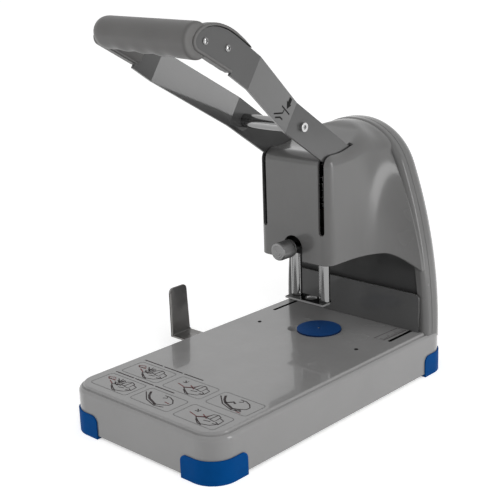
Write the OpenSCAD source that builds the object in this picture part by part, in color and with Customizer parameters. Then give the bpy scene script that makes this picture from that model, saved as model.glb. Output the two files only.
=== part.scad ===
// Heavy-duty paper drill: one hollow drill in a ram, pushed down by a two-armed hand lever.
// Millimetres. The origin is the centre of the base on the table, +X right, +Y rear, +Z up.

/* [Base] */
// Width of the base
base_w = 200; // [190:1:230]
// Depth of the base, front to rear
base_d = 361; // [352:1:400]
// Height of the base's shoulder over the table
shoulder_z = 46.1; // [44:0.1:52]
// Gap between the base's lower edge and the table
base_gap = 3.1; // [2.6:0.1:5]
// Corner radius of the base, seen from above
base_corner_r = 25; // [20:1:30]
// Radius of the rounded shoulder
shoulder_r = 5; // [3:0.5:7]
// Height of the raised top panel over the shoulder
panel_rise = 2.3; // [1.5:0.1:3]
// Distance of the raised panel from the base's outline
panel_inset = 4.5; // [3:0.5:8]
// Radius of the raised panel's upper edge
panel_edge_r = 2; // [1:0.1:2.2]
// Thickness of the pressed sheet
sheet_t = 2; // [1.5:0.1:2.5]
// Thickness of the sheet that closes the base from below
floor_t = 1.5; // [1:0.1:2.5]

/* [Feet] */
// Length of a corner foot along each side of the base
foot_len = 41.5; // [36:0.5:50]
// Height of a corner foot
foot_h = 23.5; // [16:0.5:30]
// Thickness of a foot outside the base's wall
foot_skin = 1.5; // [1:0.1:3]
// Radius of a foot's upper ends
foot_round = 7; // [3:0.5:10]

/* [Drilling place] */
// Distance of the drill's axis in front of the hood's seam
throat = 83; // [80:0.5:84]
// Radius of the drill
drill_r = 4; // [3:0.1:4.5]
// Wall of the hollow drill
drill_wall = 1.2; // [0.8:0.1:1.5]
// Length of the drill
drill_len = 70; // [60:1:74]
// How far the drill can be set down in its holder
drill_reach = 16.2; // [12:0.1:17]
// Distance of the cutting disc's centre behind the drill's axis
disc_back = 12.5; // [9:0.5:14]
// Radius of the cutting disc
disc_r = 24.2; // [20:0.1:27]
// Height of the cutting disc over the top panel
disc_proud = 1.6; // [0.8:0.1:2]
// Thickness of the cutting disc
disc_t = 7.7; // [6:0.1:8.5]

/* [Hood] */
// Half-width of the narrow head
head_half_w = 48; // [47:0.5:52]
// Distance of the head's front face in front of the drill's axis
head_reach = 27.5; // [27:0.5:30]
// Height of the head's flat lower edge
head_low_z = 137.5; // [134:0.5:139]
// Height of the head's front top
head_top_z = 251; // [250:0.5:256]
// Radius of the head's front edges
head_round = 12; // [8:0.5:12]
// Height of the arch at the seam between hood and rear cover
arch_top_z = 272; // [268:0.5:280]
// Radius of the one arc that could close the arch's top
arch_crown_r = 70.9; // [68:0.1:73]
// Distance of the rear cover in front of the base's rear edge
rear_ledge = 2; // [1:0.5:4]
// Depth of the rounded rim in front of the seam
rim_d = 11; // [10:0.5:12]
// Width of the rim, measured across the arch
rim_w = 11; // [10:0.5:14]
// Radius of the rim's outer front edge
rim_r = 6; // [4:0.5:8]
// Wall thickness of the hood
hood_t = 2.5; // [2:0.1:2.8]
// Depth of the rear cover
cover_d = 24.2; // [22:0.2:25]
// Radius of the rear cover's rear edge
cover_r = 18.5; // [12:0.5:19]

/* [Lever] */
// Distance of the lever's pivot in front of the hood's seam
pivot_in = 26; // [24:0.5:28]
// Height of the lever's pivot
pivot_z = 208.5; // [206:0.5:210]
// Angle of the raised lever over the horizontal
lever_rest = 34; // [32:0.5:36]
// Angle that the lever turns through
lever_travel = 49; // [40:0.5:49]
// Radius of the pivot shaft
shaft_r = 6; // [5:0.1:7]
// Thickness of an arm
arm_t = 3; // [2.5:0.1:3.2]
// Width of an arm
arm_w = 31; // [28:0.5:32]
// Distance from the machine's middle to the middle of an arm at the head
arm_x = 37.5; // [37.3:0.1:37.8]
// Distance from the machine's middle to the middle of an arm at the grip
arm_out_x = 62.5; // [56:0.5:66]
// Distance from the pivot to the arm's first bend
arm_bend_u = 153.8; // [146:0.5:160]
// Distance from the pivot to the arm's second bend
arm_bend_2_u = 245.2; // [236:0.5:250]
// Distance from the pivot to the grip's axis
grip_u = 319; // [310:0.5:330]
// Radius of the grip
grip_r = 16; // [14:0.5:18]
// Half-length of the grip
grip_half = 65.4; // [65:0.1:70]

/* [Ram and presser] */
// Height of the ram block
ram_h = 24; // [20:0.5:24]
// Height of the clamp knob's axis
knob_z = 151; // [149:0.5:153]
// Radius of the clamp knob
knob_r = 9.5; // [8:0.1:10]
// Radius of a presser column
column_r = 6.5; // [5.5:0.1:6.6]
// Distance from the machine's middle to a column's axis
column_x = 19.3; // [18.8:0.1:19.4]
// Stroke of the presser plate
presser_stroke = 35.8; // [28:0.1:35.8]
// Half-width of the presser plate
presser_half_w = 26; // [26:0.5:30]
// Depth of the presser plate
presser_d = 24; // [20:0.5:26]
// Thickness of the presser plate
presser_t = 2; // [1.5:0.1:3]

/* [Gauges] */
// Distance of the back gauge's ends from the base's sides
gauge_in = 9.2; // [7:0.2:12]
// Height of the back gauge's upper edge over the top panel
gauge_h = 42.6; // [30:0.1:60]
// Gap between the back gauge and the hood's rim
gauge_gap = 1; // [0.5:0.1:2]
// Distance of a gauge slot from the base's side
slot_in = 19; // [18:0.5:21]
// Width of a gauge slot
slot_w = 4; // [3.5:0.1:5]
// Length of a gauge slot
slot_len = 47.2; // [40:0.1:50]
// Thickness of the two gauges' sheet
gauge_t = 2; // [1.5:0.1:2.2]
// Width of the side guide
guide_w = 29; // [24:0.5:34]
// Distance of the side guide's flag outside the base's wall
guide_out = 28; // [26:0.5:40]
// Height of the side guide's flag over the table
guide_top_z = 96; // [80:0.5:110]
// Height of the side guide's strip over the table
guide_z = 40; // [39:0.2:41]
// Distance of the side guide's middle in front of the base's centre
guide_y = -3.5; // [-8:0.5:0]

/* [Hidden] */

// Clearances shared by the whole machine
run_gap = 0.05;      // round running fit, on the radius
slide_gap = 0.3;     // between sliding plates
screw_gap = 0.2;     // round a screw in a plain hole, on the radius
seat_gap = 0.2;      // between the hood and the base
over = 1;            // overrun of a cut past a face
fine = 64;           // steps of a round surface that fits something
coarse = 40;         // steps of a plain round surface

// Main places, counted forward from the base's rear edge
seam_gap = 0.3;
seam_y = base_d / 2 - rear_ledge - cover_d - seam_gap;
drill_y = seam_y - throat;
disc_y = drill_y + disc_back;
head_front_y = drill_y - head_reach;
pivot_y = seam_y - pivot_in;

// Colours
paint = [0.55, 0.55, 0.55];
arm_paint = [0.41, 0.41, 0.41];
grip_grey = [0.38, 0.38, 0.37];
foot_blue = [0.07, 0.25, 0.45];
disc_blue = [0.1, 0.2, 0.42];
bright = [0.8, 0.8, 0.82];
dark_steel = [0.32, 0.32, 0.33];
bronze = [0.72, 0.56, 0.3];

// Base
panel_z = shoulder_z + panel_rise;
panel_under_z = panel_z - sheet_t;
screw_in = 17;                  // distance of a bottom screw from the base's sides
boss_r = 5;
thread_r = 2;
head_r = 4;
head_h = 1.8;
head_sink = 2.3;                // depth of the countersunk pad hole that holds the head

// Drilling place
disc_play = 0.4;
disc_top_z = panel_z + disc_proud;
disc_low_z = disc_top_z - disc_t;
seat_wall = 11.5;
seat_floor = 3;
seat_r = disc_r + seat_wall;
seat_low_z = disc_low_z - slide_gap - seat_floor;
hub_r = 4;
hub_h = 3.5;
scoop_x = -22;
scoop_front = 13.5;
scoop_y = disc_y - scoop_front;
scoop_r = 9;
scoop_depth = 3;
mark_r = 1.2;
mark_depth = 0.4;
edge_steps = 5;
base_corner_steps = 8;

// Hood outline
arch_in = 1;
arch_half_w = base_w / 2 - arch_in;
arch_foot_z = panel_z;
arch_side_r = side_radius(arch_half_w, arch_crown_r, arch_top_z - arch_foot_z);
flare_len = 94;
flare_start_y = seam_y - flare_len;
crease_in = 1;
crease_y = seam_y - rim_d - crease_in;
crease_drop = 7;
crease_top_z = arch_top_z - crease_drop;
crease_crown_r = 65.8;
crease_side_r = side_radius(arch_half_w, crease_crown_r, crease_top_z - arch_foot_z);
crest_len = 89;
crest_start_y = seam_y - crest_len;
crest_in = 4;
crest_end_y = seam_y - crest_in;
head_corner_r = head_round;
crease_corner_r = 66;
flare_power = 3.5;
corner_power = 4;
skirt_len = 36;
skirt_start_y = seam_y - skirt_len;
skirt_drop = 20;
straight_r = 20000;             // radius that stands for a straight side
side_steps = 7;
corner_steps = 9;
round_steps = 6;
flare_steps = 14;
flare_left = 2;                 // steps of the flare's sine spacing that are left out at its end
rim_steps = 3;
leg_low_z = shoulder_z - shoulder_r - 2;
crown_flat = 2;                 // how much the crown's arcs are tighter than one full arc
channel_t = hood_t;
arm_slot_half = 2.7;
arm_slot_out = 0.5;
arm_slot_x = arm_x + arm_slot_out;
arm_slot_low_z = 169;
arm_slot_in = 60;
arm_slot_rear_y = seam_y - arm_slot_in;
notch_play = 3;
notch_r = knob_r + notch_play;
cover_y = seam_y + seam_gap;
cover_rear_y = cover_y + cover_d;

// Inner frame
cheek_t = 3;
cheek_in_x = 41;
cheek_out_x = cheek_in_x + cheek_t;
column_in = 4;
column_front_y = seam_y - column_in;
cheek_past = 18;
cheek_rear_y = seam_y + cheek_past;
cheek_reach = 9;
cheek_front_y = drill_y - cheek_reach;
cheek_low_z = 152;
cheek_drop = 15;
cheek_top_z = head_top_z - cheek_drop;
cheek_foot = 18;
panel_top_z = 150;
panel_t = 2;
plate_z = 166;
plate_t = 6;
plate_back = 17;
plate_front_y = drill_y + plate_back;
plate_d = 20;
plate_play = 1.2;
plate_hole_r = drill_r + plate_play;
tongue_reach = 11;
tongue_front_y = drill_y - tongue_reach;
tongue_half_w = 28.7;
guide_boss_r = 9.4;
guide_boss_top_z = 190;
bush_r = 8;
tie_r = 4;
tie_end_r = 2.5;
tie_nut_r = 4.6;
tie_nut_h = 3;
frame_bolt_x = 54;
frame_bolt_r = 2;
frame_nut_h = 3;
lug_w = 12;
lug_d = 10;
lug_h = 14;
lug_places_z = [78, 204];
cover_screw_r = 2;
cover_head_r = 4.4;
cover_head_h = 2;
plate_screw_r = 1.6;
plate_screw_head_r = 3.2;
plate_screw_head_h = 1.6;

// Lever
arm_in_x = arm_x - arm_t / 2;
arm_face_x = arm_x + arm_t / 2;
arm_out_in_x = arm_out_x - arm_t / 2;
arm_out_face_x = arm_out_x + arm_t / 2;
arm_half_w = arm_w / 2;
arm_rise = 1.5;                 // the upper edge climbs by this towards the grip
grip_cheek_len = 48;
step_u = grip_u - grip_cheek_len;   // where the lower edge steps up for the grip
step_v = 10.5;
grip_v = -8;
nose_low_r = 6;
nose_past = 2.6;
nose_flat = 11;
stud_r = 3.5;
stud_in = 10.5;                 // room between the head's front and the studs' circle
stud_radius = pivot_y - head_front_y - stud_in;
stud_drop = 10;                 // angle of the stud under the arm's middle line
stud_rivet_r = 2.5;
lobe_r = 7;
tube_r = 7;
tube_u = 134.4;
tube_bolt_r = 2.5;
tube_bolt_in = 15;
tube_head_r = 4.5;
tube_head_h = 3.5;
socket_r = 2.3;
socket_depth = 2;
grip_cheek_w = 9;
grip_border = 1;
grip_screw_r = 1.7;
grip_head_r = 3.2;
grip_head_h = 1.2;
grip_screw_in = 8;
nose_screw_in = 8;
nose_screw_rise = 3.2;
root_screw_in = 34;
root_screw_rise = 11;
grip_screw_places = [
    [grip_u - nose_screw_in, grip_v + nose_screw_rise],
    [grip_u - root_screw_in, grip_v + root_screw_rise]
];
shaft_half = 48;
clip_r = 9;
clip_t = 1.4;
torsion_r = 9.5;
torsion_wire = 2;
torsion_turns = 6;
torsion_pitch = 2.6;
torsion_x = 14;
torsion_leg = 25;
tie_back = 18;
tie_low_z = 92;
tie_places = [                  // [y, z] of the tie bars; the springs' legs press on the first
    [pivot_y + tie_back, pivot_z + torsion_r + torsion_wire / 2 + slide_gap + tie_r],
    [(column_front_y + cheek_rear_y) / 2, tie_low_z],
    [(column_front_y + cheek_rear_y) / 2, panel_top_z]
];

// Ram, drill and presser
ram_low_z = knob_z - ram_h / 2;
ram_top_z = ram_low_z + ram_h;
ram_half_w = 29.5;
ram_half_d = 11;
ram_front_y = drill_y - ram_half_d;
ram_rear_y = drill_y + ram_half_d;
top_room = 5;                   // room between the hood's top and what stands under it
yoke_t = 4;
yoke_back = 1;
yoke_rear_y = drill_y + yoke_back;
yoke_stem_reach = 13;
yoke_stem_front_y = drill_y - yoke_stem_reach;
yoke_top_z = head_top_z - top_room;
stud_rest = lever_rest - stud_drop;
stud_z = pivot_z + stud_radius * sin(stud_rest);
stud_far_y = pivot_y - stud_radius * cos(max(stud_rest, lever_travel - stud_rest));
fork_play = 0.8;
fork_half = stud_r + fork_play;
fork_lip = 0.5;
yoke_front_y = pivot_y - stud_radius - stud_r - fork_lip;
fork_room = 1;
fork_rear_y = stud_far_y + stud_r + fork_room;
ram_drop = stud_radius * (sin(stud_rest) + sin(lever_travel - stud_rest));
press_gap = 0.4;                // left over the cutting disc at the end of a stroke
presser_z = disc_top_z + press_gap + presser_stroke;
drill_tip_z = disc_top_z + press_gap + drill_reach + ram_drop;
fork_finger = 4;
yoke_screw_r = 2;
yoke_head_r = 3.6;
yoke_head_h = 1.2;
holder_r = 7;
knob_reach = 51.5;
knob_front_y = drill_y - knob_reach;
knob_len = 20.5;
shank_r = 4;
knurl_count = 36;
knurl_depth = 0.5;
collar_r = 9.4;
collar_h = 6;
column_top_z = head_top_z - top_room;
coil_r = 8.5;
coil_wire = 1.6;
coil_turns = 7;
coil_sides = 6;
coil_rings = 8;
presser_play = 0.8;
presser_hole_r = drill_r + presser_play;

// Gauges
gauge_low_z = panel_z + slide_gap;
gauge_half_w = base_w / 2 - gauge_in;
gauge_y = seam_y - rim_d - gauge_gap - gauge_t;
gauge_round = 6;
nut_r = 2.9;
nut_h = 2.5;
stud_shank_r = 1.7;
slot_x = base_w / 2 - slot_in;
gauge_stud_y = gauge_y + gauge_t + nut_r + slide_gap;
slot_front_y = gauge_stud_y + slot_w / 2 - slot_len;
flange_half_w = arch_half_w - rim_w - 2 * slide_gap;
flange_edge = 0.5;
flange_rear_y = gauge_stud_y + stud_shank_r + screw_gap + flange_edge;
runner_half_w = 6;
runner_d = 12;
runner_low_z = 40;
guide_in_x = -20;
guide_strip_t = 2;
guide_round = 6;
guide_shoulder = 4;
track_t = 2.4;
track_out_x = panel_inset + sheet_t + panel_edge_r - base_w / 2;
track_in_x = -5;

// Plain shapes

// An outline in the YZ plane, made into a plate between two X places
module side_slab(low_x, high_x) {
    translate([low_x, 0, 0]) rotate([90, 0, 90]) linear_extrude(high_x - low_x) children();
}

// An outline in the XZ plane, made into a plate between two Y places
module front_slab(low_y, high_y) {
    translate([0, high_y, 0]) rotate([90, 0, 0]) linear_extrude(high_y - low_y) children();
}

module rod_x(low_x, high_x, r) {
    translate([low_x, 0, 0]) rotate([0, 90, 0]) cylinder(r = r, h = high_x - low_x, $fn = fine);
}

module rod_y(low_y, high_y, r) {
    translate([0, low_y, 0]) rotate([-90, 0, 0]) cylinder(r = r, h = high_y - low_y, $fn = fine);
}

module rod_z(low_z, high_z, r) {
    translate([0, 0, low_z]) cylinder(r = r, h = high_z - low_z, $fn = fine);
}

module both_sides() {
    children();
    mirror([1, 0, 0]) children();
}

module four_corners() {
    both_sides() {
        children();
        mirror([0, 1, 0]) children();
    }
}

module rounded_rect(w, d, r) {
    square([w - 2 * r, d], center = true);
    square([w, d - 2 * r], center = true);
    for (x = [-1, 1]) {
        for (y = [-1, 1]) {
            translate([x * (w / 2 - r), y * (d / 2 - r)]) circle(r, $fn = fine);
        }
    }
}

// The base's section from its lower edge up to its top panel, as [inset, z], a wall's thickness inside
function base_section(wall) =
    let(
        shoulder_in = shoulder_r - wall,
        ledge = panel_inset + wall,
        turn = acos(max((shoulder_r - ledge) / shoulder_in, 0)),
        edge = max(panel_edge_r - wall, panel_edge_r / edge_steps)
    )
    concat(
        [[wall, base_gap + max(-wall, 0)]],
        [for (i = [0:edge_steps]) let(a = turn * i / edge_steps)
            [shoulder_r - shoulder_in * cos(a), shoulder_z - shoulder_r + shoulder_in * sin(a)]],
        [for (i = [0:edge_steps]) let(a = 90 * i / edge_steps)
            [ledge + edge * (1 - cos(a)), panel_z - wall - edge * (1 - sin(a))]]
    );

// One ring round the base at a height, drawn in from the base's outline
function base_row(inset, z) =
    let(w = base_w / 2 - base_corner_r, d = base_d / 2 - base_corner_r, r = base_corner_r - inset)
    [for (q = [0:3]) for (i = [0:base_corner_steps]) let(a = 90 * (q + i / base_corner_steps))
        [(q == 0 || q == 3 ? w : -w) + r * cos(a), (q < 2 ? d : -d) + r * sin(a), z]];

function base_rows(wall) = [for (p = base_section(wall)) base_row(p[0], p[1])];

// Faces that join closed rings of n points, one above another
function ring_faces(rows, n, from) = [
    for (i = [0:rows - 2]) for (j = [0:n - 1])
        let(a = from + i * n + j, b = from + i * n + (j + 1) % n)
        each [[a, a + n, b + n], [a, b + n, b]]
];

function flipped(faces) = [for (f = faces) [for (i = [len(f) - 1:-1:0]) f[i]]];

// The space inside the base's outer form, grown all round
module base_form(grow) {
    rows = base_rows(-grow);
    n = len(rows[0]);
    top = (len(rows) - 1) * n;
    ends = [[for (j = [0:n - 1]) j], [for (j = [n - 1:-1:0]) top + j]];
    polyhedron([for (row = rows) for (q = row) q], concat(ring_faces(len(rows), n, 0), ends));
}

// The pressed base: an outer and an inner skin, open below
module base_pressing() {
    outer = base_rows(0);
    inner = base_rows(sheet_t);
    n = len(outer[0]);
    rows = len(outer);
    first = rows * n;
    lip = [for (j = [0:n - 1]) let(k = (j + 1) % n) each [[j, k, first + k], [j, first + k, first + j]]];
    roof = [[for (j = [n - 1:-1:0]) first - n + j], [for (j = [0:n - 1]) 2 * first - n + j]];
    polyhedron(
        [for (row = concat(outer, inner)) for (q = row) q],
        concat(ring_faces(rows, n, 0), flipped(ring_faces(rows, n, first)), lip, roof),
        convexity = 6
    );
}

// A slot with round ends along Y, cut through the top panel
module gauge_slot() {
    r = slot_w / 2;
    translate([-r, slot_front_y + r, panel_under_z - over])
        cube([slot_w, slot_len - slot_w, sheet_t + 2 * over]);
    for (y = [slot_front_y + r, slot_front_y + slot_len - r]) {
        translate([0, y, 0]) rod_z(panel_under_z - over, panel_z + over, r);
    }
}

module scoop() {
    ball_r = (scoop_r * scoop_r + scoop_depth * scoop_depth) / (2 * scoop_depth);
    translate([scoop_x, scoop_y, panel_z + ball_r - scoop_depth]) sphere(ball_r, $fn = fine);
}

// Hood outline: half of a section at one Y place, from its foot up to its top

// Radius of the one crown arc that a side curve can end in
function crown_r(half_w, side_r, top) =
    (side_r * side_r - (side_r - half_w) * (side_r - half_w) - top * top) / (2 * (side_r - top));

// Radius of the side curve that ends in a crown arc of a given radius
function side_radius(half_w, crown, top) =
    (half_w * half_w + top * top - 2 * crown * top) / (2 * (half_w - crown));

// Points [x, z] of the right half, from the lower edge to the middle of the top
function half_section(half_w, side_r, corner_r, top_z, low_z, inset) =
    let(
        r = min(corner_r, crown_r(half_w, side_r, top_z - arch_foot_z) - crown_flat),
        side_x = half_w - side_r,
        corner_z = top_z - r,
        rise = corner_z - arch_foot_z,
        corner_x = side_x + sqrt((side_r - r) * (side_r - r) - rise * rise),
        turn = atan2(rise, corner_x - side_x),
        side_in = side_r - inset,
        corner_in = max(r - inset, hood_t / 10),
        start = asin((low_z - arch_foot_z) / side_in)
    )
    concat(
        [for (i = [0:side_steps]) let(a = start + (turn - start) * i / side_steps)
            [side_x + side_in * cos(a), arch_foot_z + side_in * sin(a)]],
        [for (i = [1:corner_steps]) let(a = turn + (90 - turn) * i / corner_steps)
            [corner_x + corner_in * cos(a), corner_z + corner_in * sin(a)]]
    );

// The whole open outline at one Y place, from the right foot over the top to the left foot
function section_row(y, half) = concat(
    [for (p = half) [p[0], y, p[1]]],
    [for (i = [len(half) - 1:-1:0]) [-half[i][0], y, half[i][1]]]
);

function ease(t) = let(s = min(max(t, 0), 1)) s * s * (3 - 2 * s);
function flare(y) = min(max((y - flare_start_y) / (crease_y - flare_start_y), 0), 1);

// How far the head's rounded front draws in at one Y place
function front_inset(y, front_y, r) =
    let(reach = min(max(front_y + r - y, 0), r)) r - sqrt(r * r - reach * reach);

function skirt_z(y) =
    let(t = min(max((y - skirt_start_y) / (crease_y - skirt_start_y), 0), 1))
    head_low_z - skirt_drop * t * t;

// One row of the head's skin, at Y and a wall's thickness inside the outer face
function head_row(y, wall) =
    let(
        u = flare(y),
        bend = pow(u, flare_power),
        draw = front_inset(y, head_front_y + wall, head_round - wall) + wall,
        side_r = min(crease_side_r / max(bend, crease_side_r / straight_r), straight_r),
        half_w = head_half_w + (arch_half_w - head_half_w) * bend,
        corner_r = head_corner_r + (crease_corner_r - head_corner_r) * pow(u, corner_power),
        top_z = head_top_z + (crease_top_z - head_top_z)
            * ease((y - crest_start_y) / (crest_end_y - crest_start_y))
    )
    section_row(y, half_section(half_w, side_r, corner_r, top_z, skirt_z(y), draw));

// Y places of the head's rows, from the front face to inside the rim
function head_places(wall) = concat(
    [for (i = [0:round_steps]) head_front_y + wall
        + (head_round - wall) * (1 - cos(90 * i / round_steps))],
    [for (i = [1:flare_steps]) let(from = head_front_y + head_round)
        from + (crease_y - from) * sin(90 * i / (flare_steps + flare_left))
            / sin(90 * flare_steps / (flare_steps + flare_left))],
    [crease_y + rim_d / 2]
);

function arch_half(inset) =
    half_section(arch_half_w, arch_side_r, arch_half_w, arch_top_z, leg_low_z, inset);

// One row of the rear cover's skin
function cover_row(y, wall) =
    section_row(y, arch_half(wall + front_inset(-y, -cover_rear_y + wall, cover_r - wall)));

function cover_places(wall) = concat(
    [for (i = [0:round_steps]) cover_rear_y - wall - (cover_r - wall) * (1 - cos(90 * i / round_steps))],
    [cover_y]
);

function reversed(row) = [for (i = [len(row) - 1:-1:0]) row[i]];

// A moulding from two sets of rows, its outer and inner skin, closed at the first row
module moulding(outer, inner) {
    n = len(outer[0]);
    rows = len(outer);
    points = [for (row = concat(outer, inner)) for (p = row) p];
    first = rows * n;
    skin = [
        for (i = [0:rows - 2]) for (j = [0:n - 2]) let(a = i * n + j)
            each [[a, a + n, a + n + 1], [a, a + n + 1, a + 1]]
    ];
    lining = [for (f = skin) [f[2] + first, f[1] + first, f[0] + first]];
    hems = [
        for (i = [0:rows - 2]) let(a = i * n, b = a + n - 1)
            each [
                [a, a + first, a + n + first], [a, a + n + first, a + n],
                [b, b + n + first, b + first], [b, b + n, b + n + first]
            ]
    ];
    lip = [
        for (j = [0:n - 2]) let(a = (rows - 1) * n + j)
            each [[a, a + first, a + first + 1], [a, a + first + 1, a + 1]]
    ];
    face = [[for (j = [0:n - 1]) j]];
    back = [[for (j = [n - 1:-1:0]) j + first]];
    sill = [[0, n - 1, n - 1 + first], [0, n - 1 + first, first]];
    polyhedron(points, concat(skin, lining, hems, lip, face, back, sill), convexity = 8);
}

// Section of the rim, as [inset, y]: a channel that is open to the rear, with a rounded outer edge
function rim_section() =
    let(front = seam_y - rim_d, round_y = front + rim_r)
    concat(
        [[0, seam_y]],
        [for (i = [0:round_steps]) let(a = 90 * i / round_steps)
            [rim_r * (1 - cos(a)), round_y - rim_r * sin(a)]],
        [[rim_w, front], [rim_w, seam_y], [rim_w - channel_t, seam_y],
            [rim_w - channel_t, front + channel_t], [rim_r, front + channel_t]],
        [for (i = [1:rim_steps]) let(a = 90 - 90 * i / rim_steps)
            [rim_r - (rim_r - channel_t) * cos(a), round_y - (rim_r - channel_t) * sin(a)]],
        [[channel_t, seam_y]]
    );

// The arched rim and the hood's two legs
module rim() {
    section = reversed(rim_section());
    rows = [for (s = section) section_row(s[1], arch_half(s[0]))];
    n = len(rows[0]);
    m = len(rows);
    skin = [
        for (i = [0:m - 1]) for (j = [0:n - 2]) let(a = i * n + j, b = (i + 1) % m * n + j)
            each [[a, b + 1, b], [a, a + 1, b + 1]]
    ];
    right_foot = [[for (i = [0:m - 1]) i * n]];
    left_foot = [[for (i = [m - 1:-1:0]) i * n + n - 1]];
    polyhedron([for (row = rows) for (p = row) p], concat(skin, right_foot, left_foot), convexity = 8);
}

module arm_slots() {
    both_sides() {
        translate([arm_slot_x - arm_slot_half, 0, arm_slot_low_z + arm_slot_half])
            cube([2 * arm_slot_half, arm_slot_rear_y, arch_top_z - arm_slot_low_z]);
        translate([arm_slot_x, 0, arm_slot_low_z + arm_slot_half])
            rod_y(0, head_front_y + head_round, arm_slot_half);
    }
}

module knob_notch() {
    translate([0, 0, knob_z]) rod_y(0, head_front_y + head_round, notch_r);
    translate([-notch_r, 0, head_low_z - over])
        cube([2 * notch_r, head_front_y + head_round, knob_z - head_low_z + over]);
}

module hood_shell() {
    color(paint) difference() {
        union() {
            moulding(
                [for (y = head_places(0)) reversed(head_row(y, 0))],
                [for (y = head_places(hood_t)) reversed(head_row(y, hood_t))]
            );
            rim();
        }
        arm_slots();
        knob_notch();
        base_form(seat_gap);
    }
}

module rear_cover() {
    color(paint) difference() {
        moulding(
            [for (y = cover_places(0)) cover_row(y, 0)],
            [for (y = cover_places(hood_t)) cover_row(y, hood_t)]
        );
        base_form(seat_gap);
        cover_screw_places() rod_y(0, cover_rear_y + over, cover_screw_r + screw_gap);
    }
}

// Base

module screw_places() {
    four_corners() translate([base_w / 2 - screw_in, base_d / 2 - screw_in, 0]) children();
}

module frame_bolt_places() {
    both_sides() translate([frame_bolt_x, (column_front_y + cheek_rear_y) / 2, 0]) children();
}

module guide_passage(low_x, high_x) {
    translate([low_x, guide_y - guide_w / 2 - slide_gap, guide_z - slide_gap])
        cube([high_x - low_x, guide_w + 2 * slide_gap, guide_strip_t + 2 * slide_gap]);
}

module base_shell() {
    color(paint) difference() {
        union() {
            base_pressing();
            screw_places() rod_z(base_gap + floor_t, panel_under_z, boss_r);
        }
        screw_places() rod_z(0, shoulder_z / 2, thread_r + run_gap);
        translate([0, disc_y, 0]) rod_z(panel_under_z - over, panel_z + over, disc_r + disc_play);
        scoop();
        both_sides() translate([slot_x, 0, 0]) gauge_slot();
        frame_bolt_places() rod_z(panel_under_z - over, panel_z + over, frame_bolt_r + screw_gap);
        guide_passage(-base_w / 2 - over, -base_w / 2 + sheet_t + over);
    }
}

module bottom_plate() {
    color(dark_steel) difference() {
        translate([0, 0, base_gap]) linear_extrude(floor_t)
            rounded_rect(base_w - 2 * (sheet_t + slide_gap), base_d - 2 * (sheet_t + slide_gap),
                base_corner_r - sheet_t - slide_gap);
        screw_places() rod_z(0, shoulder_z / 2, thread_r + screw_gap);
    }
}

// A foot's outline along one wall: straight, with a rounded upper free end
module foot_side() {
    reach = foot_len + foot_skin;
    square([reach, foot_h - foot_round]);
    translate([foot_round, 0]) square([reach - foot_round, foot_h]);
    translate([foot_round, foot_h - foot_round]) circle(foot_round, $fn = coarse);
}

module corner_foot() {
    out_w = base_w / 2 + foot_skin;
    out_d = base_d / 2 + foot_skin;
    reach = foot_len + foot_skin;
    difference() {
        intersection() {
            linear_extrude(foot_h)
                rounded_rect(2 * out_w, 2 * out_d, base_corner_r + foot_skin);
            translate([out_w - reach, out_d, 0]) rotate([90, 0, 0]) linear_extrude(reach) foot_side();
            translate([out_w - reach, out_d - reach, 0]) rotate([90, 0, 90]) linear_extrude(reach)
                foot_side();
        }
        translate([0, 0, base_gap]) linear_extrude(foot_h)
            rounded_rect(base_w, base_d, base_corner_r);
        translate([base_w / 2 - screw_in, base_d / 2 - screw_in, 0]) {
            rod_z(-over, head_sink, head_r + slide_gap);
            rod_z(-over, base_gap + over, thread_r + screw_gap);
        }
    }
}

module corner_feet() {
    color(foot_blue) four_corners() corner_foot();
}

module bottom_screws() {
    color(bright) screw_places() {
        rod_z(head_sink - head_h, head_sink, head_r);
        rod_z(head_sink, shoulder_z / 2 - over, thread_r);
    }
}

module disc_seat() {
    color(dark_steel) difference() {
        translate([0, disc_y, 0]) rod_z(seat_low_z, panel_under_z, seat_r);
        translate([0, disc_y, 0]) rod_z(seat_low_z + seat_floor, panel_z, disc_r + disc_play);
        translate([0, disc_y, 0]) rod_z(seat_low_z - over, panel_z, hub_r);
        scoop();
    }
}

module disc_hub() {
    color(bright) translate([0, disc_y, 0]) rod_z(seat_low_z, disc_low_z + hub_h, hub_r);
}

module cutting_disc() {
    color(disc_blue) translate([0, disc_y, 0]) difference() {
        rod_z(disc_low_z, disc_top_z, disc_r);
        rod_z(disc_low_z - over, disc_low_z + hub_h + slide_gap, hub_r + run_gap);
        rod_z(disc_top_z - mark_depth, disc_top_z + over, mark_r);
    }
}

// Gauges

module back_gauge() {
    top_z = panel_z + gauge_h;
    color(arm_paint) difference() {
        union() {
            front_slab(gauge_y, gauge_y + gauge_t) {
                translate([-gauge_half_w, gauge_low_z])
                    square([2 * gauge_half_w, top_z - gauge_round - gauge_low_z]);
                translate([gauge_round - gauge_half_w, top_z - 2 * gauge_round])
                    square([2 * (gauge_half_w - gauge_round), 2 * gauge_round]);
                for (x = [-1, 1]) {
                    translate([x * (gauge_half_w - gauge_round), top_z - gauge_round])
                        circle(gauge_round, $fn = coarse);
                }
            }
            translate([-flange_half_w, gauge_y, gauge_low_z])
                cube([2 * flange_half_w, flange_rear_y - gauge_y, gauge_t]);
        }
        both_sides() translate([slot_x, gauge_stud_y, 0])
            rod_z(gauge_low_z - over, gauge_low_z + gauge_t + over, stud_shank_r + screw_gap);
    }
}

module gauge_runners() {
    flange_z = gauge_low_z + gauge_t;
    color(bright) both_sides() translate([slot_x, gauge_stud_y, 0]) {
        translate([-runner_half_w, -runner_d / 2, runner_low_z])
            cube([2 * runner_half_w, runner_d, panel_under_z - slide_gap - runner_low_z]);
        rod_z(panel_under_z - slide_gap, flange_z, stud_shank_r);
        translate([0, 0, flange_z]) cylinder(r = nut_r, h = nut_h, $fn = 6);
    }
}

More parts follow.
